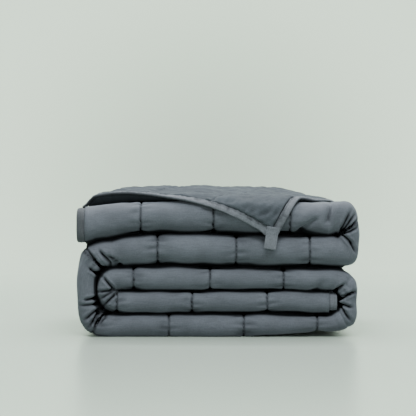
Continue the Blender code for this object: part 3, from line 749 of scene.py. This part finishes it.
def bowed(start, end, a, b):
    """x and v a share b of the way from the front edge to the fold, with the side edge's bow."""
    bow = stacked(SIDE_BOW * a * b * (1.0 - b), 0.0)
    return start + np.asarray(b)[..., None] * (end - start) + bow


def corner_place(a, b):
    """x and v on the turned-back ply: a along its front edge, b from that edge to the fold."""
    a, b = np.broadcast_arrays(np.asarray(a, float), np.asarray(b, float))
    return bowed(front_edge(a), fold_edge(a), a, b)


def inward(a, b, step=0.01):
    """Unit direction from the front edge into the ply, and from the side edge into it."""
    along_edge = front_edge(np.minimum(a + step, 1.0)) - front_edge(np.maximum(a - step, 0.0))
    along_side = (corner_place(1.0, np.minimum(b + step, 1.0))
                  - corner_place(1.0, np.maximum(b - step, 0.0)))
    return left_of(along_edge), left_of(along_side)


def edge_height(a):
    """Top of the bound front edge over the cloth below: it stands off more at the left."""
    hug = EDGE_HUG * ease(a, 0.35, 0.4)
    rise = EDGE_RISE * ease(a, -0.02, 0.10) * (1.0 - ease(a, 0.12, 0.38))
    return EDGE_HEIGHT - hug + rise - EDGE_DIP * (1.0 - ease(a, 0.0, 0.065))


def ridge_height(a):
    """Top of the fold: it rises from the outer end and runs out towards the back."""
    rise = ease(a, -0.06, 0.26) * (1.0 - ease(a, 0.7, 0.3))
    return RIDGE_END_HEIGHT + (RIDGE_HEIGHT - RIDGE_END_HEIGHT) * rise


def corner_top(a, b):
    """Height of the turned-back ply's upper side over the top layer."""
    near = edge_height(a)
    return near + (ridge_height(a) - near) * smoothstep(b) ** 0.8


def line_distance(places, line):
    """Distance of places from a polyline, both as x and v."""
    best = np.full(places.shape[:-1], FAR)
    for start, end in zip(line, line[1:]):
        way = end - start
        share = np.clip(((places - start) @ way) / (way @ way), 0.0, 1.0)
        best = np.minimum(best, np.linalg.norm(places - start - share[..., None] * way, axis=-1))
    return best


def corner_seams(places):
    """Distance from the nearest sewn line of the turned-back ply, and from its two edges."""
    shares = np.linspace(0.0, 1.0, 41)
    from_front = line_distance(places, front_edge(shares))
    from_side = line_distance(places, corner_place(1.0, shares))
    seam = np.full(from_front.shape, FAR)
    for first, distance in ((CORNER_FRONT_SEAM, from_front), (CORNER_SIDE_SEAM, from_side)):
        for k in range(4):
            seam = np.minimum(seam, np.abs(distance - first - QUILT_PITCH * k))
    return seam, from_front, from_side


def crossing(grid, field, level):
    """The line on a grid where a field passes a level, one point from each row that has it."""
    line = []
    for points, values in zip(grid, field - level):
        hits = np.nonzero(values[:-1] * values[1:] < 0.0)[0]
        if len(hits):
            share = values[hits[0]] / (values[hits[0]] - values[hits[0] + 1])
            line.append(points[hits[0]] + share * (points[hits[0] + 1] - points[hits[0]]))
    return np.array(line).reshape(-1, 3)


def corner_relief(places, b):
    """How far the turned-back ply stands out at places on it, its painted shade, and the distances
    from its front and side edges."""
    points = over(places, 0.0)
    seam, from_front, from_side = corner_seams(places)
    edge = np.minimum(from_front, from_side)
    body = smoothstep(from_front / EDGE_MARGIN) * smoothstep(from_side / EDGE_MARGIN)
    draw = (dip(seam, SEAM_REACH, CORNER_SEAM_DEPTH)
            + dip(seam, CORNER_STITCH_REACH, CORNER_STITCH_CUT))
    swell = CORNER_CROWN * smoothstep(seam / CORNER_CROWN_REACH) * body
    x, v = places[..., 0], places[..., 1]
    drawn_out = stacked(CORNER_FOLD_STRETCH[0] * x, CORNER_FOLD_STRETCH[1] * v, 0.0)
    fold = body * waves(drawn_out, CORNER_FOLDS)
    beside_edge = fading(edge, 20.0) * smoothstep(from_front / 6.0) * smoothstep(from_side / 9.0)
    pucker = (waves(points, CORNER_PUCKER)
              * (EDGE_PUCKER * beside_edge + LINE_PUCKER * bell(seam, 9.0)))
    crumple = body * waves(points, *CRUMPLE)
    at_tip = (fading(np.hypot(from_front, from_side), RIPPLE_REACH)
              * smoothstep(from_front / 5.0) * smoothstep(from_side / 5.0))
    broken = np.clip(0.6 + waves(points, BROKEN), 0.0, 1.3)
    turns = 2.0 * math.pi * (from_side + 0.6 * from_front) / RIPPLE_PITCH
    ripple = RIPPLE_HEIGHT * at_tip * broken * np.sin(turns + waves(points, RIPPLE_PHASE))
    uneven = fold + pucker + crumple + ripple
    lift = (swell - draw + uneven) * (1.0 - 0.5 * ease(b, 0.97, 0.03))
    lift = np.maximum(lift, -0.8 - 3.6 * smoothstep(edge / EDGE_MARGIN))
    # Painted shade in its hollows, more near the front edge, and along its sewn lines.
    painted_shade = np.clip(-uneven / 1.6, 0.0, 1.0)
    shade = (1.0 - CORNER_HOLLOW_SHADE * painted_shade * fading(from_front, 60.0)
             - CORNER_SEAM_SHADE * bell(seam, SEAM_LINE))
    return lift, shade, from_front, from_side


def corner_grid(shares_a):
    """Rings across the turned-back ply, from its front edge over the fold and back below."""
    a = shares_a[:, None]
    start = front_edge(a) + (BINDING_WIDTH / 2.0 + CLEARANCE) * inward(a, 0.0)[0]
    end = fold_edge(a)
    length = np.linalg.norm(end - start, axis=-1, keepdims=True)
    back = (end - start) / length

    b = np.linspace(0.0, 1.0, CORNER_STEPS)[None, :]
    lift, tone, from_front, from_side = corner_relief(bowed(start, end, a, b), b)
    upper = over(bowed(start, end, a, b), corner_top(a, b) + lift)

    ridge = ridge_height(a)
    radius = (ridge + PLY) / 2.0
    turn = np.radians(np.linspace(FOLD_ARC, -FOLD_ARC, FOLD_STEPS))[None, :]
    roll = over(end + back * (radius * np.cos(turn))[..., None],
                ridge - radius + radius * np.sin(turn))
    roll[..., 2] += waves(roll, ROLL) * np.cos(turn)

    grip = np.minimum(0.5 * length, PLY)
    root = [over(spot, -PLY - ROOT_DEPTH) for spot in (end, end - back * grip)]

    limit = 1.0 - (grip + DRAPE_GAP)[..., 0] / length[..., 0]
    b = limit * np.linspace(1.0, 0.0, CORNER_STEPS)[None, 1:]
    thick = BINDING_THICK + (FLAP_THICK - BINDING_THICK) * b ** 0.3
    under = np.minimum(corner_top(a, b) - thick, DRAPE_GAP + PLY * b)
    below = over(bowed(start, end, a, b), np.maximum(under, DRAPE_GAP))

    grid = np.concatenate((upper, roll, *root, below), axis=1)
    # Painted shade on the unseen lower side; none round the fold.
    shade = np.full(grid.shape[:2], UNDER_SHADE)
    shade[:, :CORNER_STEPS] = tone
    shade[:, CORNER_STEPS:CORNER_STEPS + FOLD_STEPS] = 1.0
    lines = [crossing(points, distance, first + QUILT_PITCH * k)
             for points, distance, first in (
                 (upper, from_front, CORNER_FRONT_SEAM),
                 (upper.swapaxes(0, 1), from_side.T, CORNER_SIDE_SEAM))
             for k in range(3)]
    return grid, shade, lines


def corner_shares():
    """Shares of the front edge at which the ply has its rings, up to the side binding."""
    side = 1.0 - (BINDING_WIDTH / 2.0 + CLEARANCE) / (CORNER_POINT[0] - CORNER_START[0])
    return side * np.linspace(0.02, 1.0, CORNER_ROWS)


def make_corner(material):
    grid, shade, lines = corner_grid(corner_shares())
    return grid_mesh("turned_corner", grid, material, shade=shade), lines


# ---- bindings
def rounded_outline(squareness=4.0):
    """Shares of width and thickness round a flat strip with softly rounded edges."""
    turn = 2.0 * math.pi * np.arange(BINDING_STEPS) / BINDING_STEPS
    return 0.5 * squared(stacked(np.cos(turn), np.sin(turn)), squareness)


def edge_strip(name, places, sideways, heights, material, seed):
    """A bound edge that follows places on the top layer, a little uneven."""
    outline = rounded_outline()
    across, up = outline[:, :1] * BINDING_WIDTH, outline[:, 1]
    grid = over(places[:, None, :] + across * sideways[:, None, :],
                heights[:, None] + (up - 0.5) * CORNER_BINDING_THICK)
    upper = smoothstep(up + 0.5)
    seam = np.abs(across[:, 0] - TOP_SEAM_SHARE * BINDING_WIDTH)
    bunched = 1.0 + 2.0 * fading(np.linalg.norm(places - CORNER_POINT, axis=1)[:, None], 20.0)
    lift = bunched * waves(grid, Wave(1.0, 7.0, seed), Wave(0.8, 3.6, seed + 3.0))
    grid[..., 2] += upper * (lift - dip(seam, 1.4, 0.7))
    grid[..., 1] += upper * 0.5 * lift
    # Painted shade in the tape's hollows and along its top-stitching, and more on its lower half.
    shade = (1.0 - STRIP_HOLLOW_SHADE * np.clip(-lift / 0.8, 0.0, 1.0)
             - STRIP_SEAM_SHADE * bell(seam, 1.0))
    shade *= UNDER_SHADE + (1.0 - UNDER_SHADE) * upper
    return grid_mesh(name, grid, material, shade=shade), strip_line(grid, 1)


def strip_line(grid, side):
    """The top-stitching along a strip's cloth side (1) or the other (-1), between its ends."""
    first = 3 if side > 0 else 6
    return grid[2:-2, first:first + 2].mean(axis=1)


def make_corner_bindings(material):
    a = np.linspace(0.0, corner_shares()[-1], FRONT_BINDING_ROWS)
    front = edge_strip("corner_front_binding", front_edge(a), inward(a, 0.0)[0], edge_height(a),
                       material, 21.0)
    b = np.linspace(0.0, 1.0, SIDE_BINDING_ROWS)
    places = corner_place(1.0, b)
    lead = places[1] - places[0]
    lead *= BINDING_WIDTH / 2.0 / np.linalg.norm(lead)
    onward = places[-1] - places[-2]
    tail = np.linspace(0.0, 1.0, TAIL_ROWS)
    onward = onward / np.linalg.norm(onward) * SIDE_TAIL * tail[1:, None]
    places = np.concatenate((places[:1] - lead, places[:1] - 0.5 * lead, places,
                             places[-1] + onward))
    b = np.concatenate(((0.0, 0.0), b, np.ones(TAIL_ROWS - 1)))
    heights = corner_top(1.0, b)
    heights[-TAIL_ROWS:] -= (heights[-1] - CORNER_BINDING_THICK - CLEARANCE) * smoothstep(tail)
    side = edge_strip("corner_side_binding", places, inward(1.0, b)[1], heights, material, 33.0)
    return front, side


def end_strip(name, section, x_inner, x_outer, inset, thick, lower_y, upper_y, material, seed):
    """A bound ply end: a strip round the front with a lower and an upper arm towards the back."""
    half = section.thick / 2.0 - inset
    front = FRONT_Y + section.front + inset
    round_y = FRONT_ROUND * section.thick / 2.0 - inset
    angle = math.pi * (np.arange(END_ARC_STEPS + 1) / END_ARC_STEPS - 0.5)
    arc = stacked(front + round_y * (1.0 - squared(np.cos(angle), END_FULLNESS)),
                  section.z + half * squared(np.sin(angle), END_FULLNESS))
    lower, upper = (stacked(np.linspace(y, arc[end][0], END_ARM_ROWS), arc[end][1])
                    for y, end in ((lower_y, 0), (upper_y, -1)))
    middle = np.concatenate((lower[:-1], arc, upper[::-1][1:]))
    outward = left_of(np.gradient(middle, axis=0))

    outline = rounded_outline(7.0)
    x = (x_inner + x_outer) / 2.0 + outline[:, 0] * abs(x_outer - x_inner)
    from_cloth = np.abs(x - x_inner)
    level = outline[:, 1] * thick
    level = level * (1.0 - 0.15 * ease(from_cloth, 0.6 * BINDING_WIDTH, 0.4 * BINDING_WIDTH))
    level = level - np.sign(level) * dip(from_cloth - 1.6, 1.2, 0.55)
    grid = stacked(x, middle[:, :1] + outward[:, :1] * level,
                   middle[:, 1:] + outward[:, 1:] * level)
    lift = waves(grid, Wave(0.55, 9.0, seed), Wave(0.35, 3.6, seed + 2.0)) * np.sign(level)
    grid = grid + np.pad(outward, ((0, 0), (1, 0)))[:, None, :] * lift[..., None]
    return grid_mesh(name, grid, material), strip_line(grid, 1 if x_outer < x_inner else -1)


def make_end_bindings(shaded_end_tape_material, core_material):
    outer = RUNS["top"][-1]
    core = RUNS["core"][0]
    back = FRONT_Y + DEPTH - BACK_NOTCH
    x_inner = outer.x - CLEARANCE
    x_outer = x_inner - BINDING_WIDTH
    turn_y = float(crest_y(outer.x)) + CORNER_START[1]
    return (
        end_strip("outer_end_binding", outer, x_inner, x_outer, PLY / 2.0, PLY,
                  back, turn_y, shaded_end_tape_material, 41.0),
        end_strip("inner_ply_binding", outer, x_inner, x_outer, PLY * 1.5 + CLEARANCE, PLY,
                  back, back, shaded_end_tape_material, 45.0),
        end_strip("core_end_binding", core, core.x + CLEARANCE, core.x + CLEARANCE + BINDING_WIDTH,
                  CORE_BINDING_INSET, CORE_BINDING_THICK, back, back, core_material, 49.0))


def loop_frame():
    """The loop's upper end, and its directions down, across and outward."""
    top = drape(CORNER_POINT[0] - 0.5, CORNER_POINT[1] + LOOP_LAP, edge_height(1.0))
    tilt = math.radians(LOOP_TILT)
    return (top - (0.0, CLEARANCE, 0.0), np.array((-math.sin(tilt), 0.0, -math.cos(tilt))),
            np.array((math.cos(tilt), 0.0, -math.sin(tilt))), np.array((0.0, -1.0, 0.0)))


def make_loop(material):
    """Tape folded to a loop and pressed flat, and the sewn lines that hold it."""
    top, down, across, out = loop_frame()
    ply = LOOP_PLY_SHARE * LOOP_THICK
    radius = (LOOP_THICK - ply) / 2.0
    straight = np.linspace(0.0, LOOP_LENGTH - radius - ply / 2.0, LOOP_ROWS)
    turn = np.linspace(0.0, math.pi, 11)[1:-1]
    way = np.concatenate((
        stacked(straight, LOOP_THICK - ply / 2.0),
        stacked(straight[-1] + radius * np.sin(turn), LOOP_THICK / 2.0 + radius * np.cos(turn)),
        stacked(straight[::-1], ply / 2.0)))
    outward = left_of(np.gradient(way, axis=0))
    outline = rounded_outline(6.0)
    level = outline[:, 1] * ply
    flare = LOOP_FLARE * smoothstep(way[:, :1] / LOOP_LENGTH) ** 2
    fall = way[:, :1] + outward[:, :1] * level
    depth = way[:, 1:] + flare + outward[:, 1:] * level
    width = np.broadcast_to(outline[:, 0] * LOOP_WIDTH, fall.shape)
    grid = top + fall[..., None] * down + width[..., None] * across + depth[..., None] * out
    grid = grid + out * waves(grid, LOOP_WAVE)[..., None]
    lines = []
    for start, end in zip(LOOP_BOX, LOOP_BOX[1:]):
        spot = np.linspace(start, end, 9)
        line = top + spot[:, :1] * across + spot[:, 1:] * down + (LOOP_THICK + 0.1) * out
        lines.append(line + out * waves(line, LOOP_WAVE)[:, None])
    return grid_mesh("corner_tie_loop", grid, material), lines


# ---- stitching
QUILTING_PITCH = 4.8  # from one stitch to the next
TOP_STITCH_PITCH = 3.2
STITCH_SHARE = 0.72  # share of the pitch that shows as thread
THREAD = 0.6  # width of the thread
STITCH_GAP = 22.0  # a line is broken where its points lie farther apart
STITCH_FLOOR = 1.2  # lowest stitches over the ground
STITCH_SEED = 7


def add_node(tree, kind, inputs=(), **settings):
    """Adds a node with its settings, gives its inputs values or other nodes' outputs, and returns
    its own outputs."""
    node = tree.nodes.new(kind)
    for name, value in settings.items():
        setattr(node, name, value)
    feed(tree, node, inputs)
    return node.outputs


def feed(tree, node, inputs):
    for socket, value in dict(inputs).items():
        if isinstance(value, bpy.types.NodeSocket):
            tree.links.new(value, node.inputs[socket])
        else:
            node.inputs[socket].default_value = value


def calculated(tree, operation, *values):
    return add_node(tree, "ShaderNodeMath", enumerate(values), operation=operation)["Value"]


def stitch_tree(material):
    """Lays small rounded thread pieces end to end along the lines of a mesh."""
    tree = bpy.data.node_groups.new("stitches", "GeometryNodeTree")
    face = tree.interface
    face.new_socket("Lines", in_out="INPUT", socket_type="NodeSocketGeometry")
    keys = {name: face.new_socket(name, in_out="INPUT", socket_type="NodeSocketFloat").identifier
            for name in ("Pitch", "Length", "Thread")}
    face.new_socket("Stitches", in_out="OUTPUT", socket_type="NodeSocketGeometry")
    given = add_node(tree, "NodeGroupInput")
    curve = add_node(tree, "GeometryNodeMeshToCurve", {"Mesh": given["Lines"]})["Curve"]
    spots = add_node(tree, "GeometryNodeCurveToPoints",
                     {"Curve": curve, "Length": given["Pitch"]}, mode="LENGTH")
    turn = add_node(tree, "FunctionNodeAlignRotationToVector",
                    {"Vector": spots["Tangent"]}, axis="X")["Rotation"]
    piece = add_node(tree, "GeometryNodeMeshUVSphere",
                     {"Segments": 6, "Rings": 4, "Radius": 0.5})["Mesh"]
    vary = add_node(tree, "FunctionNodeRandomValue",
                    {"Min": 0.85, "Max": 1.1, "Seed": STITCH_SEED})["Value"]
    size = add_node(tree, "ShaderNodeCombineXYZ",
                    {"X": calculated(tree, "MULTIPLY", given["Length"], vary),
                     "Y": given["Thread"], "Z": given["Thread"]})["Vector"]
    laid = add_node(tree, "GeometryNodeInstanceOnPoints",
                    {"Points": spots["Points"], "Instance": piece,
                     "Rotation": turn, "Scale": size})["Instances"]
    real = add_node(tree, "GeometryNodeRealizeInstances", {"Geometry": laid})["Geometry"]
    sewn = add_node(tree, "GeometryNodeSetMaterial",
                    {"Geometry": real, "Material": material})["Geometry"]
    add_node(tree, "NodeGroupOutput", {"Stitches": sewn})
    return tree, keys


def make_stitches(name, lines, pitch, tree, keys):
    """Thread along sewn lines, as a plain mesh."""
    points, edges = [], []
    for line in lines:
        line = line[line[:, 2] > STITCH_FLOOR]
        start = len(points)
        points += in_metres(line).tolist()
        apart = np.linalg.norm(np.diff(line, axis=0), axis=-1)
        edges += [(start + k, start + k + 1) for k, step in enumerate(apart)
                  if 0.01 < step < STITCH_GAP]
    mesh = bpy.data.meshes.new(name)
    mesh.from_pydata(points, edges, [])
    obj = add_object(name, mesh)
    maker = obj.modifiers.new("stitches", "NODES")
    maker.node_group = tree
    for label, value in (("Pitch", pitch), ("Length", STITCH_SHARE * pitch), ("Thread", THREAD)):
        maker[keys[label]] = value * MM
    ready = obj.evaluated_get(bpy.context.evaluated_depsgraph_get())
    plain = bpy.data.meshes.new_from_object(ready)
    obj.modifiers.remove(maker)
    obj.data = plain
    plain.shade_smooth()
    return obj


# ---- materials
CLOTH_COLOUR = (0.064, 0.074, 0.087)
# Painted shade: the quilt's cloth made darker for the turned-back ply, to tone down the light that
# falls on it.
UNDERSIDE_COLOUR = (0.036, 0.045, 0.053)
TAPE_COLOUR = (0.078, 0.088, 0.100)
# Painted shade: the same tape made darker at the outer end, where it wraps round away from the
# light.
SHADED_END_TAPE_COLOUR = (0.046, 0.052, 0.058)
# A little darker than the cloth, so as not to lighten the painted shade along the sewn lines.
THREAD_COLOUR = (0.060, 0.069, 0.080)
SHEEN_TINT = (0.75, 0.85, 0.95, 1.0)
SLUB_SCALE = (70.0, 750.0, 1.0)  # drawn-out noise along the threads
BANDS = 0.314  # bands of a wave texture in one unit, at a scale of 1


def new_material(name, inputs):
    """A material, its tree and its shader, with the shader's inputs."""
    material = bpy.data.materials.new(name)
    material.use_nodes = True
    tree = material.node_tree
    shader = tree.nodes["Principled BSDF"]
    feed(tree, shader, inputs)
    return material, tree, shader


def clouds(tree, vector, scale, detail=2.0):
    return add_node(tree, "ShaderNodeTexNoise",
                    {"Vector": vector, "Scale": scale, "Detail": detail})["Fac"]


def around_one(tree, value, reach, spread):
    """A noise, within a reach of its middle value, as a factor within a spread of 1."""
    return add_node(tree, "ShaderNodeMapRange",
                    {"Value": value, "From Min": 0.5 - reach, "From Max": 0.5 + reach,
                     "To Min": 1.0 - spread, "To Max": 1.0 + spread})["Result"]


def mixed(tree, factor, first, last):
    """A colour from the first to the last, by the factor."""
    inputs = {"Factor": factor, "A": (*first, 1.0), "B": (*last, 1.0)}
    return add_node(tree, "ShaderNodeMix", inputs, data_type="RGBA")["Result"]


def bump(tree, height, strength, distance, **under):
    return add_node(tree, "ShaderNodeBump", {"Height": height, "Strength": strength,
                                             "Distance": distance, **under})["Normal"]


def cloth_material(name, colour, weave_pitch, sheen, twill):
    """Woven cloth whose colour, sheen and gloss are darkened by the painted shade in its shade
    attribute.
    """
    material, tree, shader = new_material(
        name, {"Roughness": 0.85, "Sheen Roughness": 0.5, "Sheen Tint": SHEEN_TINT})
    uv = add_node(tree, "ShaderNodeUVMap", uv_map="cloth")["UV"]
    place = add_node(tree, "ShaderNodeTexCoord")["Object"]
    painted_shade = add_node(tree, "ShaderNodeAttribute", attribute_name="shade")["Fac"]
    drawn_out = add_node(tree, "ShaderNodeMapping", {"Vector": uv, "Scale": SLUB_SCALE})["Vector"]
    patch = clouds(tree, place, 28.0, 5.0)
    tone = painted_shade
    for value, reach, spread in ((patch, 0.2, 0.14), (clouds(tree, drawn_out, 1.0), 0.2, 0.10),
                                 (clouds(tree, place, 700.0), 0.25, 0.22 if twill else 0.14)):
        tone = calculated(tree, "MULTIPLY", tone, around_one(tree, value, reach, spread))
    tint = add_node(tree, "ShaderNodeVectorMath", {0: colour, "Scale": tone}, operation="SCALE")
    bands = [add_node(tree, "ShaderNodeTexWave",
                      {"Vector": uv, "Scale": BANDS / (weave_pitch * MM), "Distortion": 0.6},
                      wave_type="BANDS", bands_direction=direction)["Fac"]
             for direction in ("DIAGONAL" if twill else "X", "Y")]
    weave = calculated(tree, "ADD" if twill else "MULTIPLY", *bands)
    feed(tree, shader, {
        "Base Color": tint["Vector"],
        "Sheen Weight": calculated(tree, "MULTIPLY", painted_shade, sheen),
        "Specular IOR Level": calculated(tree, "MULTIPLY", painted_shade, 0.2),
        "Normal": bump(tree, weave, 0.35, 0.00015, Normal=bump(tree, patch, 0.5, 0.0006))})
    return material


def thread_material():
    material, tree, shader = new_material(
        "sewing_thread", {"Roughness": 0.7, "Specular IOR Level": 0.3})
    place = add_node(tree, "ShaderNodeTexCoord")["Object"]
    darker, paler = ([level * value for value in THREAD_COLOUR] for level in (0.75, 1.25))
    feed(tree, shader, {"Base Color": mixed(tree, clouds(tree, place, 900.0), darker, paler)})
    return material


def paper_material():
    material, tree, shader = new_material("backdrop_paper", {"Roughness": PAPER_ROUGHNESS})
    place = add_node(tree, "ShaderNodeTexCoord")["Object"]

    def grown(middle, first, last, least):
        """From the least value to 1, between two distances from a point."""
        away = add_node(tree, "ShaderNodeVectorMath", {0: place, 1: middle}, operation="DISTANCE")
        reach = {"Value": away["Value"], "From Min": first, "From Max": last, "To Min": least}
        return add_node(tree, "ShaderNodeMapRange", reach,
                        interpolation_type="SMOOTHSTEP")["Result"]

    # Painted shadow: the paper darkens round the blanket and in a spot on the wall behind it.
    far = grown((0.0, 0.0, 0.0), PAPER_TONE_FROM, PAPER_TONE_TO, 0.0)
    wall_shadow = grown(WALL_SHADOW, 0.0, WALL_SHADOW_REACH, WALL_SHADOW_TONE)
    tone = mixed(tree, far, SHADOWED_NEAR_COLOUR, FAR_COLOUR)
    shadowed = add_node(tree, "ShaderNodeVectorMath", {0: tone, "Scale": wall_shadow}, operation="SCALE")
    gloss = calculated(tree, "MULTIPLY_ADD", far, -PAPER_GLOSS, PAPER_GLOSS)
    feed(tree, shader, {"Base Color": shadowed["Vector"], "Specular IOR Level": gloss})
    return material


# ---- studio, in metres
CAMERA_X = -0.0132
CAMERA_Z = 0.172
CAMERA_AWAY = 1.72  # from the layers' front
VIEW_WIDTH = 0.5533  # seen across at the layers' front
SENSOR_WIDTH = 36.0
# Place and aim of each lamp, its width and depth, and its watts.
Lamp = namedtuple("Lamp", "name place aim width depth watts")
LAMPS = (
    Lamp("overhead", (0.0, 0.05, 1.6), (0.0, 0.0, 0.1), 2.2, 1.3, 58.0),
    Lamp("front_top", (0.1, -1.3, 1.8), (0.0, 0.0, 0.1), 1.1, 0.6, 56.0),
    Lamp("front_fill", (0.4, -2.4, 0.45), (0.0, 0.0, 0.08), 1.6, 0.7, 23.0),
    Lamp("wall_wash", (0.0, 1.2, 2.4), (0.0, 2.2, 0.5), 3.0, 0.6, 97.0),
)
# Painted shadow: the paper's colour near the blanket, darker than its own colour further away.
SHADOWED_NEAR_COLOUR = (0.285, 0.348, 0.300)
FAR_COLOUR = (0.59, 0.71, 0.58)
PAPER_TONE_FROM = 0.15  # distances from the blanket's middle over which the paper's painted shadow fades to its own paler colour
PAPER_TONE_TO = 2.4
PAPER_ROUGHNESS = 0.27
PAPER_GLOSS = 0.6  # on the floor; it fades towards the wall
WALL_SHADOW = (0.0, 2.1, 0.3)  # painted shadow on the backdrop: its darkest spot, how far it reaches and its tone
WALL_SHADOW_REACH = 0.95
WALL_SHADOW_TONE = 0.62
AMBIENT_COLOUR = (0.185, 0.195, 0.200)
SEEN_COLOUR = (0.60, 0.69, 0.60)  # the same beyond the paper's ends, as the eye sees it
WALL_Y = 2.4
WALL_TOP = 3.5
SWEEP_NEAR_Y = -2.6  # the paper's near end
SWEEP_HALF_WIDTH = 2.4
SWEEP_RADIUS = 1.0


def make_backdrop():
    """Paper that runs along the floor and up the wall."""
    turn = np.linspace(0.0, math.pi / 2.0, 25)
    bend_y = WALL_Y - SWEEP_RADIUS + SWEEP_RADIUS * np.sin(turn)
    bend_z = SWEEP_RADIUS - SWEEP_RADIUS * np.cos(turn)
    profile = [(SWEEP_NEAR_Y, 0.0), *zip(bend_y.tolist(), bend_z.tolist()), (WALL_Y, WALL_TOP)]
    points = [(x, y, z) for y, z in profile for x in (-SWEEP_HALF_WIDTH, SWEEP_HALF_WIDTH)]
    faces = [(2 * k, 2 * k + 1, 2 * k + 3, 2 * k + 2) for k in range(len(profile) - 1)]
    sweep = bpy.data.meshes.new("backdrop")
    sweep.from_pydata(points, [], faces)
    sweep.shade_smooth()
    sweep.materials.append(paper_material())
    backdrop = add_object("backdrop", sweep)


def make_studio():
    make_backdrop()
    world = bpy.data.worlds.new("studio")
    world.use_nodes = True
    tree = world.node_tree
    seen = add_node(tree, "ShaderNodeLightPath")["Is Camera Ray"]
    feed(tree, tree.nodes["Background"], {"Color": mixed(tree, seen, AMBIENT_COLOUR, SEEN_COLOUR)})
    bpy.context.scene.world = world
    for lamp in LAMPS:
        light = bpy.data.lights.new(lamp.name, "AREA")
        light.shape = "RECTANGLE"
        light.size = lamp.width
        light.size_y = lamp.depth
        light.energy = lamp.watts
        holder = add_object(lamp.name, light)
        holder.location = lamp.place
        aim = Vector(lamp.aim) - Vector(lamp.place)
        holder.rotation_euler = aim.to_track_quat("-Z", "Y").to_euler()


def make_camera():
    data = bpy.data.cameras.new("eye")
    data.sensor_width = SENSOR_WIDTH
    data.lens = SENSOR_WIDTH * CAMERA_AWAY / VIEW_WIDTH
    camera = add_object("eye", data)
    camera.location = (CAMERA_X, (FRONT_Y - CENTRE[1]) * MM - CAMERA_AWAY, CAMERA_Z)
    camera.rotation_euler = (math.pi / 2.0, 0.0, 0.0)
    bpy.context.scene.camera = camera


def main():
    cloth = cloth_material("quilted_cloth", CLOTH_COLOUR, 0.8, 0.16, False)
    path = strip_path()
    quilt, quilting = make_body(path, cloth)
    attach(quilt, "root")
    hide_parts("quilt_body")
    tape = cloth_material("binding_tape", TAPE_COLOUR, 0.7, 0.15, True)
    underside = cloth_material("quilted_cloth_underside", UNDERSIDE_COLOUR, 0.8, 0.05, False)
    corner, corner_quilting = make_corner(underside)
    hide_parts("quilt_body")
    (front, front_line), (side, side_line) = make_corner_bindings(tape)
    shaded_end_tape = cloth_material("binding_tape_outer_end_painted_shade", SHADED_END_TAPE_COLOUR, 0.7, 0.1, True)
    (outer, outer_line), (inner, inner_line), (core, core_line) = make_end_bindings(shaded_end_tape, tape)
    loop, loop_lines = make_loop(tape)
    for piece, node in ((front, "binding_corner_front"), (side, "binding_corner_side"),
                        (outer, "binding_outer_end"), (inner, "binding_inner_ply"),
                        (core, "binding_core_end"), (loop, "corner_loop")):
        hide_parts(node)
    for piece in (corner, front, side, outer, inner, core, loop):
        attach(piece, "root")
    tree, keys = stitch_tree(thread_material())
    top_stitching = [front_line, side_line, outer_line, inner_line, core_line] + loop_lines
    for name, lines, pitch in (("quilting_stitches", quilting + corner_quilting, QUILTING_PITCH),
                               ("binding_stitches", top_stitching, TOP_STITCH_PITCH)):
        stitches = make_stitches(name, lines, pitch, tree, keys)
        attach(stitches, "root")
    make_studio()
    make_camera()


main()
